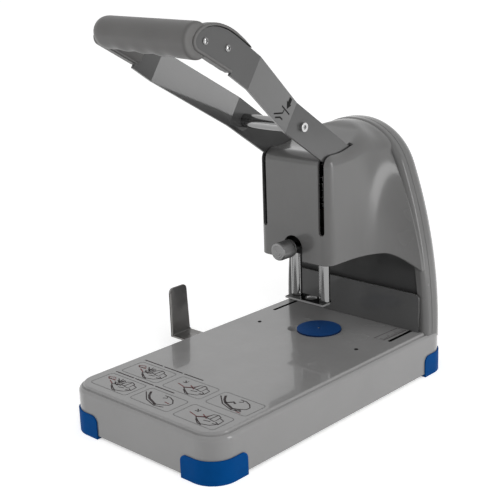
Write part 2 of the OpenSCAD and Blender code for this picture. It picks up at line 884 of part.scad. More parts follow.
module side_guide() {
    out_x = -base_w / 2 - guide_out;
    front_y = guide_y - guide_w / 2;
    rear_y = guide_y + guide_w / 2;
    color(bright) {
        translate([out_x, front_y, guide_z]) cube([guide_in_x - out_x, guide_w, guide_strip_t]);
        side_slab(out_x, out_x + gauge_t) {
            translate([front_y, guide_z]) square([guide_w, (guide_top_z - guide_z) / 2]);
            translate([front_y, guide_z])
                square([guide_w - guide_shoulder, guide_top_z - guide_z - guide_round]);
            translate([front_y + guide_round, guide_top_z - 2 * guide_round])
                square([guide_w - guide_shoulder - 2 * guide_round, 2 * guide_round]);
            for (y = [front_y + guide_round, rear_y - guide_shoulder - guide_round]) {
                translate([y, guide_top_z - guide_round]) circle(guide_round, $fn = coarse);
            }
        }
    }
}

module guide_track() {
    low_z = guide_z - slide_gap - track_t;
    color(dark_steel) difference() {
        translate([track_out_x, guide_y - guide_w / 2 - slide_gap - track_t, low_z])
            cube([track_in_x - track_out_x, guide_w + 2 * (slide_gap + track_t), panel_under_z - low_z]);
        guide_passage(track_out_x - over, track_in_x + over);
    }
}

// Hood and its inner frame

module cover_screw_places() {
    both_sides() {
        for (z = lug_places_z) {
            translate([cheek_in_x + lug_w / 2, 0, z]) children();
        }
    }
}

module cover_screws() {
    color(bright) cover_screw_places() {
        rod_y(cheek_rear_y - lug_d / 2, cover_rear_y, cover_screw_r);
        rod_y(cover_rear_y, cover_rear_y + cover_head_h, cover_head_r);
    }
}

module inner_panel() {
    half = arch_half(rim_w + slide_gap);
    color(dark_steel) front_slab(column_front_y - panel_t, column_front_y) intersection() {
        translate([-arch_half_w, panel_z]) square([2 * arch_half_w, panel_top_z - panel_z]);
        polygon(concat(half, [for (p = reversed(half)) [-p[0], p[1]]]));
    }
}

module cheek_outline() {
    corner = cheek_rear_y - column_front_y;
    polygon([
        [column_front_y, panel_z], [cheek_rear_y, panel_z],
        [cheek_rear_y, cheek_top_z - corner / 2], [cheek_rear_y - corner / 2, cheek_top_z],
        [cheek_front_y + corner / 2, cheek_top_z], [cheek_front_y, cheek_top_z - corner / 2],
        [cheek_front_y, cheek_low_z], [column_front_y, cheek_low_z]
    ]);
}

module plate_screw_places() {
    for (y = [plate_front_y + plate_d / 4, plate_front_y + 3 * plate_d / 4]) {
        translate([0, y, plate_z + plate_t / 2]) children();
    }
}

module cheek() {
    lug_front_y = cover_rear_y - hood_t - slide_gap - lug_d;
    difference() {
        union() {
            side_slab(cheek_in_x, cheek_out_x) cheek_outline();
            translate([cheek_in_x, column_front_y, panel_z])
                cube([cheek_t + cheek_foot, cheek_rear_y - column_front_y, cheek_t]);
            for (z = lug_places_z) {
                translate([cheek_in_x, lug_front_y, z - lug_h / 2]) cube([lug_w, lug_d, lug_h]);
            }
        }
        translate([0, pivot_y, pivot_z]) rod_x(cheek_in_x - over, cheek_out_x + over, shaft_r + run_gap);
        for (p = tie_places) {
            translate([0, p[0], p[1]]) rod_x(cheek_in_x - over, cheek_out_x + over, tie_end_r + screw_gap);
        }
        plate_screw_places() rod_x(cheek_in_x - over, cheek_out_x + over, plate_screw_r + screw_gap);
        translate([frame_bolt_x, (column_front_y + cheek_rear_y) / 2, 0])
            rod_z(panel_z - over, panel_z + cheek_t + over, frame_bolt_r + screw_gap);
        for (z = lug_places_z) {
            translate([cheek_in_x + lug_w / 2, 0, z])
                rod_y(lug_front_y - over, cover_rear_y, cover_screw_r + run_gap);
        }
    }
}

module right_cheek() {
    color(dark_steel) cheek();
}

module left_cheek() {
    color(dark_steel) mirror([1, 0, 0]) cheek();
}

module guide_plate() {
    color(dark_steel) difference() {
        union() {
            translate([-cheek_in_x, plate_front_y, plate_z]) cube([2 * cheek_in_x, plate_d, plate_t]);
            translate([-tongue_half_w, tongue_front_y, plate_z])
                cube([2 * tongue_half_w, plate_front_y - tongue_front_y, plate_t]);
            column_places() rod_z(plate_z, guide_boss_top_z, guide_boss_r);
        }
        column_places() rod_z(plate_z - over, guide_boss_top_z + over, bush_r);
        translate([0, drill_y, 0]) rod_z(plate_z - over, plate_z + plate_t + over, plate_hole_r);
        both_sides() plate_screw_places()
            rod_x(cheek_in_x - 2 * plate_t, cheek_in_x + over, plate_screw_r + run_gap);
    }
}

module column_bushes() {
    color(bronze) column_places() difference() {
        rod_z(plate_z, guide_boss_top_z, bush_r);
        rod_z(plate_z - over, guide_boss_top_z + over, column_r + run_gap);
    }
}

module tie_bars() {
    color(bright) for (p = tie_places) {
        translate([0, p[0], p[1]]) {
            rod_x(-cheek_in_x, cheek_in_x, tie_r);
            rod_x(-cheek_out_x - tie_nut_h, cheek_out_x + tie_nut_h, tie_end_r);
            both_sides() translate([cheek_out_x, 0, 0]) rotate([0, 90, 0])
                cylinder(r = tie_nut_r, h = tie_nut_h, $fn = 6);
        }
    }
}

module frame_screws() {
    color(bright) {
        frame_bolt_places() {
            rod_z(panel_under_z - 2 * frame_bolt_r, panel_z + cheek_t, frame_bolt_r);
            translate([0, 0, panel_z + cheek_t])
                cylinder(r = 2 * frame_bolt_r, h = frame_nut_h, $fn = 6);
            translate([0, 0, panel_under_z - 2 * frame_bolt_r])
                cylinder(r = 2 * frame_bolt_r, h = 2 * frame_bolt_r, $fn = 6);
        }
        both_sides() plate_screw_places() {
            rod_x(cheek_in_x - 2 * plate_t + over, cheek_out_x, plate_screw_r);
            rod_x(cheek_out_x, cheek_out_x + plate_screw_head_h, plate_screw_head_r);
        }
    }
}

// Wound springs

function unit(v) = v / norm(v);

function tangents(path) = let(last = len(path) - 1)
    [for (i = [0:last]) unit(path[min(i + 1, last)] - path[max(i - 1, 0)])];

// A round tube along a path, as one polyhedron; up is never along the path
module tube(path, r, sides, up) {
    ways = tangents(path);
    n = len(path);
    points = [
        for (i = [0:n - 1]) let(across = unit(cross(ways[i], up)), away = cross(ways[i], across))
            for (k = [0:sides - 1]) let(a = 360 * k / sides)
                path[i] + r * (cos(a) * across + sin(a) * away)
    ];
    skin = [
        for (i = [0:n - 2]) for (k = [0:sides - 1])
            let(a = i * sides + k, b = i * sides + (k + 1) % sides)
            each [[a, b + sides, b], [a, a + sides, b + sides]]
    ];
    ends = [
        [for (k = [0:sides - 1]) k],
        [for (k = [sides - 1:-1:0]) (n - 1) * sides + k]
    ];
    polyhedron(points, concat(skin, ends), convexity = 10);
}

// Least gap between the turns of a wound wire, from the points of its path
function least_gap(path, wire, rings) = min([
    for (i = [0:len(path) - 1]) for (k = [i + floor(rings / 2):1:len(path) - 1])
        norm(path[i] - path[k]) - wire
]);

// A torsion spring round the pivot shaft: a straight leg, the turns, and an end drawn in to the shaft
function torsion_path() = concat(
    [[torsion_x, pivot_y + torsion_leg, pivot_z + torsion_r]],
    [for (i = [0:coil_rings * torsion_turns]) let(
        a = 360 * i / coil_rings,
        left = coil_rings * torsion_turns - i,
        drawn = max(1 - 2 * left / coil_rings, 0),
        r = torsion_r - (torsion_r - shaft_r - torsion_wire / 2 - slide_gap) * drawn
    ) [torsion_x + torsion_pitch * i / coil_rings, pivot_y - r * sin(a), pivot_z + r * cos(a)]]
);

module return_springs() {
    path = torsion_path();
    echo("least gap in a return spring", least_gap(path, torsion_wire, coil_rings));
    color(bright) both_sides() tube(path, torsion_wire / 2, coil_sides, [1, 0, 0]);
}

function column_spring_path() = let(
    low = guide_boss_top_z + coil_wire / 2 + run_gap,
    high = column_top_z - collar_h - coil_wire / 2 - run_gap
) [for (i = [0:coil_rings * coil_turns]) let(a = 360 * i / coil_rings)
    [column_x + coil_r * cos(a), drill_y + coil_r * sin(a),
        low + (high - low) * i / (coil_rings * coil_turns)]];

module column_springs() {
    path = column_spring_path();
    echo("least gap in a column spring", least_gap(path, coil_wire, coil_rings));
    color(bright) both_sides() tube(path, coil_wire / 2, coil_sides, [0, 0, 1]);
}

// Lever, drawn along its arms: u forward from the pivot, v upward across them

module lever_frame() {
    translate([0, pivot_y, pivot_z]) rotate([-lever_rest, 0, 0]) children();
}

// A plate between two X places, from an outline in u and v
module lever_slab(low_x, high_x) {
    translate([high_x, 0, 0]) rotate([90, 0, -90]) linear_extrude(high_x - low_x) children();
}

module lever_rod(low_x, high_x, u, v, r) {
    translate([0, -u, v]) rod_x(low_x, high_x, r);
}

// Outline of an arm's rounded end, in the grip, from its upper edge round to its lower edge
function nose_outline(grow) =
    let(
        reach = grip_u + nose_past - step_u - nose_flat,
        rise = arm_half_w + arm_rise - grip_v,
        low = nose_low_r
    )
    concat(
        [for (a = [90:-15:0])
            [step_u + nose_flat + (reach + grow) * cos(a), grip_v + (rise + grow) * sin(a)]],
        [for (a = [-15:-15:-90])
            [step_u + nose_flat + reach - low + (low + grow) * cos(a), grip_v + (low + grow) * sin(a)]],
        [[step_u, -step_v - grow]]
    );

module arm_outline() {
    polygon(concat([[0, arm_half_w]], nose_outline(0), [[step_u, -arm_half_w], [0, -arm_half_w]]));
}

// The arm seen from above: straight, splayed and straight again, as [u, x]
module arm_plan() {
    far_u = grip_u + grip_r;
    polygon([
        [-arm_w, arm_in_x], [arm_bend_u, arm_in_x], [arm_bend_2_u, arm_out_in_x],
        [far_u, arm_out_in_x], [far_u, arm_out_face_x], [arm_bend_2_u, arm_out_face_x],
        [arm_bend_u, arm_face_x], [-arm_w, arm_face_x]
    ]);
}

module arm() {
    lever_frame() difference() {
        union() {
            intersection() {
                lever_slab(arm_in_x - over, arm_out_face_x + over) arm_outline();
                translate([0, 0, -arm_w]) linear_extrude(2 * arm_w) rotate([0, 0, -90]) arm_plan();
            }
            lever_rod(arm_in_x, arm_face_x, 0, 0, arm_half_w);
            lever_rod(arm_in_x, arm_face_x, stud_radius * cos(stud_drop), -stud_radius * sin(stud_drop),
                lobe_r);
        }
        lever_rod(arm_in_x - over, arm_face_x + over, 0, 0, shaft_r + run_gap);
        lever_rod(arm_in_x - over, arm_face_x + over, tube_u, 0, tube_bolt_r + screw_gap);
        lever_rod(arm_in_x - over, arm_face_x + over, stud_radius * cos(stud_drop),
            -stud_radius * sin(stud_drop), stud_rivet_r + run_gap);
        for (p = grip_screw_places) {
            lever_rod(arm_out_in_x - over, arm_out_face_x + over, p[0], p[1], grip_screw_r + screw_gap);
        }
    }
}

module right_arm() {
    color(arm_paint) arm();
}

module left_arm() {
    color(arm_paint) mirror([1, 0, 0]) arm();
}

module cross_tube() {
    color(bright) lever_frame() difference() {
        lever_rod(-arm_in_x, arm_in_x, tube_u, 0, tube_r);
        both_sides() lever_rod(arm_in_x - tube_bolt_in, arm_in_x + over, tube_u, 0,
            tube_bolt_r + run_gap);
    }
}

module tube_bolts() {
    color(bright) lever_frame() both_sides() difference() {
        union() {
            lever_rod(arm_in_x - tube_bolt_in + over, arm_face_x, tube_u, 0, tube_bolt_r);
            lever_rod(arm_face_x, arm_face_x + tube_head_h, tube_u, 0, tube_head_r);
        }
        translate([arm_face_x + tube_head_h - socket_depth, -tube_u, 0]) rotate([0, 90, 0])
            cylinder(r = socket_r, h = socket_depth + over, $fn = 6);
    }
}

module handle_grip() {
    cheek_in = arm_out_in_x - grip_cheek_w;
    color(grip_grey) lever_frame() difference() {
        union() {
            translate([0, -grip_u, grip_v]) rotate([0, 90, 0]) rotate([0, 0, 90])
                rotate_extrude($fn = fine) grip_bar_section();
            both_sides() lever_slab(cheek_in, grip_half) hull() {
                polygon(concat(nose_outline(grip_border), [[step_u, -grip_v]]));
                translate([grip_u, grip_v]) circle(grip_r - grip_border, $fn = coarse);
            }
        }
        both_sides() {
            lever_slab(arm_out_in_x - run_gap, grip_half + over)
                polygon(concat([[step_u - over, arm_half_w + arm_rise + run_gap]],
                    nose_outline(run_gap), [[step_u - over, -step_v - run_gap]]));
            for (p = grip_screw_places) {
                lever_rod(cheek_in - over, arm_out_in_x + over, p[0], p[1], grip_screw_r + run_gap);
            }
        }
    }
}

// Half of the grip bar's lengthwise section, with rounded ends
module grip_bar_section() {
    end_r = grip_r / 4;
    translate([0, -grip_half + end_r]) square([grip_r, 2 * (grip_half - end_r)]);
    translate([0, -grip_half]) square([grip_r - end_r, 2 * grip_half]);
    for (y = [-1, 1]) {
        translate([grip_r - end_r, y * (grip_half - end_r)]) circle(end_r, $fn = coarse);
    }
}

module grip_screws() {
    color(bright) lever_frame() both_sides() {
        for (p = grip_screw_places) {
            lever_rod(arm_out_in_x - grip_screw_in, arm_out_face_x, p[0], p[1], grip_screw_r);
            lever_rod(arm_out_face_x, arm_out_face_x + grip_head_h, p[0], p[1], grip_head_r);
        }
    }
}

module lever_shaft() {
    color(bright) translate([0, pivot_y, pivot_z]) rod_x(-shaft_half, shaft_half, shaft_r);
}

module shaft_clips() {
    clip_x = cheek_out_x + slide_gap;
    color(dark_steel) translate([0, pivot_y, pivot_z]) both_sides() difference() {
        rod_x(clip_x, clip_x + clip_t, clip_r);
        rod_x(clip_x - over, clip_x + clip_t + over, shaft_r);
    }
}

module drive_studs() {
    u = stud_radius * cos(stud_drop);
    v = -stud_radius * sin(stud_drop);
    color(bright) lever_frame() both_sides() {
        lever_rod(ram_half_w + slide_gap, arm_in_x, u, v, stud_r);
        lever_rod(arm_in_x, arm_face_x, u, v, stud_rivet_r);
    }
}

// Ram, drill and presser

module yoke_screw_places() {
    for (z = [ram_low_z + ram_h / 4, ram_low_z + 3 * ram_h / 4]) {
        translate([0, ram_front_y + yoke_head_r - over, z]) children();
    }
}

module column_places() {
    both_sides() translate([column_x, drill_y, 0]) children();
}

module ram_block() {
    color(dark_steel) difference() {
        translate([-ram_half_w, ram_front_y, ram_low_z])
            cube([2 * ram_half_w, ram_rear_y - ram_front_y, ram_h]);
        column_places() rod_z(ram_low_z - over, ram_top_z + over, column_r + run_gap);
        translate([0, drill_y, 0]) rod_z(ram_low_z - over, ram_top_z + over, holder_r);
        translate([0, 0, knob_z]) rod_y(ram_front_y - over, drill_y, shank_r + run_gap);
        both_sides() yoke_screw_places()
            rod_x(ram_half_w - yoke_head_r - over, ram_half_w + over, yoke_screw_r + run_gap);
    }
}

module yoke_outline() {
    polygon([
        [yoke_stem_front_y, ram_low_z], [yoke_rear_y, ram_low_z], [yoke_rear_y, yoke_top_z],
        [yoke_front_y, yoke_top_z], [yoke_front_y, stud_z + fork_half],
        [fork_rear_y, stud_z + fork_half], [fork_rear_y, stud_z - fork_half],
        [yoke_front_y, stud_z - fork_half], [yoke_front_y, stud_z - fork_half - fork_finger],
        [yoke_stem_front_y, stud_z - fork_half - 2 * fork_finger]
    ]);
}

module ram_yokes() {
    color(dark_steel) both_sides() difference() {
        side_slab(ram_half_w, ram_half_w + yoke_t) yoke_outline();
        yoke_screw_places()
            rod_x(ram_half_w - over, ram_half_w + yoke_t + over, yoke_screw_r + screw_gap);
    }
}

module yoke_screws() {
    face_x = ram_half_w + yoke_t;
    color(bright) both_sides() yoke_screw_places() {
        rod_x(ram_half_w - yoke_head_r, face_x, yoke_screw_r);
        rod_x(face_x, face_x + yoke_head_h, yoke_head_r);
    }
}

module drill_holder() {
    color(bright) difference() {
        translate([0, drill_y, 0]) rod_z(ram_low_z, ram_top_z, holder_r);
        translate([0, drill_y, 0]) rod_z(ram_low_z - over, ram_top_z + over, drill_r + run_gap);
        translate([0, 0, knob_z]) rod_y(ram_front_y, drill_y, shank_r + screw_gap);
    }
}

module hollow_drill() {
    bore_r = drill_r - drill_wall;
    color(bright) translate([0, drill_y, drill_tip_z]) rotate_extrude($fn = fine)
        polygon([
            [drill_r - drill_wall / 3, 0], [drill_r, drill_wall], [drill_r, drill_len],
            [bore_r, drill_len], [bore_r, 2 * drill_wall]
        ]);
}

module clamp_knob() {
    rim_r = knob_r - knurl_depth;
    rim_len = knob_len / 8;
    color(bright) translate([0, 0, knob_z]) {
        translate([0, knob_front_y + rim_len, 0]) rotate([-90, 0, 0])
            linear_extrude(knob_len - 2 * rim_len)
                polygon([for (i = [0:2 * knurl_count - 1])
                    (knob_r - (i % 2) * knurl_depth)
                        * [cos(180 * i / knurl_count), sin(180 * i / knurl_count)]]);
        rod_y(knob_front_y, knob_front_y + knob_len, rim_r - knurl_depth);
        rod_y(knob_front_y, drill_y - drill_r - seat_gap, shank_r);
    }
}

module presser_plate() {
    color(dark_steel) difference() {
        translate([-presser_half_w, drill_y - presser_d / 2, presser_z])
            cube([2 * presser_half_w, presser_d, presser_t]);
        translate([0, drill_y, 0]) rod_z(presser_z - over, presser_z + presser_t + over, presser_hole_r);
        column_places() rod_z(presser_z - over, presser_z + presser_t + over, column_r / 2 + run_gap);
    }
}

module presser_columns() {
    color(bright) column_places() {
        rod_z(presser_z + presser_t, column_top_z, column_r);
        rod_z(presser_z, presser_z + presser_t, column_r / 2);
    }
}

module column_collars() {
    color(dark_steel) column_places() difference() {
        rod_z(column_top_z - collar_h, column_top_z, collar_r);
        rod_z(column_top_z - collar_h - over, column_top_z + over, column_r);
    }
}

base_shell();
bottom_plate();
corner_feet();
bottom_screws();
disc_seat();
disc_hub();
cutting_disc();
back_gauge();
gauge_runners();
side_guide();
guide_track();
hood_shell();
rear_cover();
cover_screws();
inner_panel();
left_cheek();
right_cheek();
guide_plate();
column_bushes();
tie_bars();
frame_screws();
return_springs();
lever_shaft();
shaft_clips();
left_arm();
right_arm();
cross_tube();
tube_bolts();
handle_grip();
grip_screws();
drive_studs();
ram_block();
ram_yokes();
yoke_screws();
drill_holder();
hollow_drill();
clamp_knob();
presser_plate();
presser_columns();
column_collars();
column_springs();
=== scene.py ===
"""Looks of the heavy-duty paper drill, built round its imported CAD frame.

Sizes are in millimetres and turn into metres where a mesh is made. The origin is the centre
of the base on the table, with +X to the right, +Y to the rear and +Z up.
"""

import logging
import math
from dataclasses import dataclass
from enum import Enum
from typing import Callable, ClassVar, Iterable, Sequence

import bmesh
import bpy
from mathutils import Matrix, Vector

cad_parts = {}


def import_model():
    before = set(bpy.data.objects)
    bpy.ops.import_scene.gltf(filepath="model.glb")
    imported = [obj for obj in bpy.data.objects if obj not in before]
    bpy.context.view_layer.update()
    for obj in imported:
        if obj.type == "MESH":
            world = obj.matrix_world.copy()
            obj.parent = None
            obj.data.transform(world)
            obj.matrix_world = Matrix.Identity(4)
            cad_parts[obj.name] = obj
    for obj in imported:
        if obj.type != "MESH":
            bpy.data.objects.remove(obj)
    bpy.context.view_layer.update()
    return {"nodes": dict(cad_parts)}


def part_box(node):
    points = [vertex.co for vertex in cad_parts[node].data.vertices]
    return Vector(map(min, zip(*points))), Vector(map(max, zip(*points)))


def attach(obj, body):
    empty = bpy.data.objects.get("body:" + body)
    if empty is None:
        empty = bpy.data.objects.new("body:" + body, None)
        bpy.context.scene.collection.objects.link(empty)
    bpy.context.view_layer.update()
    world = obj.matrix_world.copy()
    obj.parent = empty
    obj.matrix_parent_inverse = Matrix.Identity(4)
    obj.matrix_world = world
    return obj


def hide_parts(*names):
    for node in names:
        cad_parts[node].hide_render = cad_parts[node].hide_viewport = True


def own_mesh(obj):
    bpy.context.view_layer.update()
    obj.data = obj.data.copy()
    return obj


Point = Sequence[float]
Outline = list[tuple[float, float]]
Color = tuple[float, float, float]

MM = 0.001
# Points nearer than this are one point, in millimetres.
MERGE = 0.002
# Faces flatter to each other than this are one face, in degrees.
FLAT = 0.5
log = logging.getLogger("paper_drill")


# ---------------------------------------------------------------- mesh tools


class Axis(Enum):
    """The direction that a flat outline is drawn out along, or a profile turns about."""

    X = "x"
    Y = "y"
    Z = "z"

    def lift(self, a: float, b: float, along: float) -> tuple[float, float, float]:
        """Puts outline point (a, b) at a place along this axis.

        Args:
            a: The outline's first number: Y for the X axis, otherwise X.
            b: The outline's second number: Y for the Z axis, otherwise Z.
            along: The place along the axis.

        Returns:
            The point in the machine's own frame.
        """
        if self is Axis.X:
            return (along, a, b)
        if self is Axis.Y:
            return (a, along, b)
        return (a, b, along)


def link(mesh: bpy.types.Mesh, name: str) -> bpy.types.Object:
    """Puts a mesh into the scene as an object of that name."""
    piece = bpy.data.objects.new(name, mesh)
    bpy.context.scene.collection.objects.link(piece)
    return piece


def shade(piece: bpy.types.Object, sharp: float = 32.0) -> bpy.types.Object:
    """Shades a piece smooth, keeps its edges sharper than an angle, and lets big faces lead."""
    piece.data.shade_smooth()
    piece.data.set_sharp_from_angle(angle=math.radians(sharp))
    if "even" not in piece.modifiers:
        even = piece.modifiers.new("even", "WEIGHTED_NORMAL")
        even.keep_sharp = True
    return piece


def solid(name: str, points: Iterable[Point], faces: Iterable[Sequence[int]]) -> bpy.types.Object:
    """Makes an object from points in millimetres, with its faces turned outward.

    Args:
        name: The piece's name.
        points: The vertices.
        faces: The faces, as lists of vertex numbers.

    Returns:
        The new object, shaded smooth.
    """
    mesh = bpy.data.meshes.new(name)
    mesh.from_pydata([Vector(p) * MM for p in points], [], [list(f) for f in faces])
    form = bmesh.new()
    form.from_mesh(mesh)
    bmesh.ops.recalc_face_normals(form, faces=form.faces)
    form.to_mesh(mesh)
    form.free()
    return shade(link(mesh, name))


def ring_skin(rows: int, count: int, closed: bool = True, first: int = 0) -> list[list[int]]:
    """Quads between rows of points, each row with the same count."""
    span = count if closed else count - 1
    return [
        [first + i * count + j, first + i * count + (j + 1) % count,
         first + (i + 1) * count + (j + 1) % count, first + (i + 1) * count + j]
        for i in range(rows - 1) for j in range(span)
    ]


def loft(name: str, rows: list[list[Point]], capped: bool = True) -> bpy.types.Object:
    """Joins closed rows of points into one skin, with a face over each end."""
    count = len(rows[0])
    faces = ring_skin(len(rows), count)
    if capped:
        last = (len(rows) - 1) * count
        faces += [list(range(count)), [last + j for j in range(count)]]
    return solid(name, [p for row in rows for p in row], faces)


def prism(name: str, outline: Outline, low: float, high: float, axis: Axis) -> bpy.types.Object:
    """Draws a flat outline out into a plate between two places along an axis."""
    return loft(name, [[axis.lift(a, b, at) for a, b in outline] for at in (low, high)])


def turned(name: str, profile: Outline, at: Point, axis: Axis = Axis.Z,
           steps: int = 72) -> bpy.types.Object:
    """Turns a profile of (radius, place along) about an axis through a point."""
    rows = []
    for r, along in profile:
        row = []
        for i in range(steps):
            turn = math.tau * i / steps
            spot = axis.lift(r * math.cos(turn), r * math.sin(turn), along)
            row.append(Vector(at) + Vector(spot))
        rows.append(row)
    return loft(name, rows)


def wire(name: str, path: Sequence[Point], radius: float, sides: int = 12) -> bpy.types.Object:
    """Sweeps a round wire along a path, without twist."""
    path = [Vector(p) for p in path]
    across: Vector | None = None
    rows = []
    for i, here in enumerate(path):
        way = (path[min(i + 1, len(path) - 1)] - path[max(i - 1, 0)]).normalized()
        if across is None:
            across = way.orthogonal().normalized()
        across = (across - way * across.dot(way)).normalized()
        away = way.cross(across)
        rows.append([
            here + radius * (math.cos(t) * across + math.sin(t) * away)
            for t in (math.tau * k / sides for k in range(sides))
        ])
    return loft(name, rows)


def evaluated(piece: bpy.types.Object) -> bpy.types.Mesh:
    """The piece's mesh with its modifiers worked in."""
    bpy.context.view_layer.update()
    graph = bpy.context.evaluated_depsgraph_get()
    return bpy.data.meshes.new_from_object(piece.evaluated_get(graph))


def work_in(piece: bpy.types.Object) -> bpy.types.Object:
    """Works a piece's modifiers into its mesh."""
    made = evaluated(piece)
    old = piece.data
    piece.modifiers.clear()
    piece.data = made
    made.name = piece.name
    bpy.data.meshes.remove(old)
    return piece


def carve(piece: bpy.types.Object, cutters: Sequence[bpy.types.Object],
          operation: str = "DIFFERENCE") -> bpy.types.Object:
    """Cuts solids out of a piece, or adds them to it, and removes them afterwards.

    Args:
        piece: The piece that is kept.
        cutters: Closed solids.
        operation: Blender's name for the operation.

    Returns:
        The piece, with a new mesh.
    """
    piece.modifiers.clear()
    for cutter in cutters:
        cutter.modifiers.clear()
        step = piece.modifiers.new("carve", "BOOLEAN")
        step.operation = operation
        step.solver = "EXACT"
        step.object = cutter
    work_in(piece)
    for cutter in cutters:
        discard(cutter)
    return shade(piece)


def discard(piece: bpy.types.Object) -> None:
    """Removes a helper object and its mesh."""
    mesh = piece.data
    bpy.data.objects.remove(piece)
    bpy.data.meshes.remove(mesh)


def moved(piece: bpy.types.Object, matrix: Matrix) -> bpy.types.Object:
    """Moves the points of a piece by a matrix whose shift is in metres."""
    piece.data.transform(matrix)
    return piece


def joined(name: str, pieces: Sequence[bpy.types.Object]) -> bpy.types.Object:
    """Makes several pieces one piece of that name."""
    form = bmesh.new()
    for piece in pieces:
        form.from_mesh(piece.data)
    mesh = bpy.data.meshes.new(name)
    form.to_mesh(mesh)
    form.free()
    for piece in pieces:
        discard(piece)
    return shade(link(mesh, name))


def soften(piece: bpy.types.Object, width: float, segments: int = 2,
           sharp: float = 30.0) -> bpy.types.Object:
    """Rounds a piece's sharp edges.

    Args:
        piece: The piece.
        width: Width of the rounded edge, in millimetres.
        segments: Faces across the rounded edge.
        sharp: Least angle between the faces of an edge that is rounded.

    Returns:
        The same piece.
    """
    form = bmesh.new()
    form.from_mesh(piece.data)
    bmesh.ops.remove_doubles(form, verts=form.verts, dist=MERGE * MM)
    bmesh.ops.dissolve_limit(form, angle_limit=math.radians(FLAT), verts=form.verts,
                             edges=form.edges)
    edges = [e for e in form.edges
             if e.is_manifold and e.calc_face_angle(0.0) > math.radians(sharp)]
    if edges and width:
        bmesh.ops.bevel(form, geom=edges, offset=width * MM, offset_type="OFFSET",
                        segments=segments, profile=0.5, affect="EDGES", clamp_overlap=True)
    form.to_mesh(piece.data)
    form.free()
    return shade(piece)


def rounded_copy(node: str, name: str, width: float) -> bpy.types.Object:
    """A copy of a CAD node with its sharp edges rounded, which then stands for the node."""
    source = bpy.data.objects[node]
    mesh = source.data.copy()
    mesh.materials.clear()
    if mesh.has_custom_normals:
        mesh.attributes.remove(mesh.attributes["custom_normal"])
    return soften(link(mesh, name), width)


def corner_arc(x: float, y: float, r: float, start: float, end: float, steps: int) -> Outline:
    """Points of an arc round (x, y), its angles in degrees."""
    turns = [math.radians(start + (end - start) * i / steps) for i in range(steps + 1)]
    return [(x + r * math.cos(t), y + r * math.sin(t)) for t in turns]


def angles(start: int, stop: int, step: int) -> list[float]:
    """Angles in radians, from degrees."""
    return [math.radians(d) for d in range(start, stop, step)]


def slot_outline(x: float, low: float, high: float, r: float, steps: int) -> Outline:
    """A slot along Y whose round ends have their middles at low and high."""
    return corner_arc(x, high, r, 0, 180, steps) + corner_arc(x, low, r, 180, 360, steps)


def rounded_box(w: float, d: float, r: float, steps: int = 8) -> Outline:
    """A rectangle with round corners about the middle."""
    x, y = w / 2 - r, d / 2 - r
    return (corner_arc(x, y, r, 0, 90, steps) + corner_arc(-x, y, r, 90, 180, steps)
            + corner_arc(-x, -y, r, 180, 270, steps) + corner_arc(x, -y, r, 270, 360, steps))


# ---------------------------------------------------------------- shader groups


class Effect(Enum):
    """The shared shader groups."""

    GRAIN = "surface_grain"
    STREAKS = "drawn_streaks"
    EDGES = "edge_mask"
    DUST = "settled_dust"


def set_values(node: bpy.types.Node, values: dict[str, object]) -> None:
    """Sets a node's constant inputs, named with underscores for blanks."""
    for name, value in values.items():
        node.inputs[name.replace("_", " ")].default_value = value


def add_node(tree: bpy.types.NodeTree, kind: str, *sources: bpy.types.NodeSocket,
             operation: str | None = None, **values: object) -> bpy.types.Node:
    """Adds a shader node, links its first inputs and sets constant ones.

    Args:
        tree: The node tree.
        kind: The node's type, without "ShaderNode" in front.
        sources: Sockets that feed the node's first inputs, in order.
        operation: The node's operation, where it has one.
        values: Constant inputs, named with underscores for blanks.

    Returns:
        The node.
    """
    node = tree.nodes.new(f"ShaderNode{kind}")
    if operation:
        node.operation = operation
    for socket, source in zip(node.inputs, sources):
        tree.links.new(source, socket)
    set_values(node, values)
    return node


def product(tree: bpy.types.NodeTree, a: bpy.types.NodeSocket,
            b: bpy.types.NodeSocket) -> bpy.types.NodeSocket:
    """Multiplies two values."""
    return add_node(tree, "Math", a, b, operation="MULTIPLY").outputs["Value"]


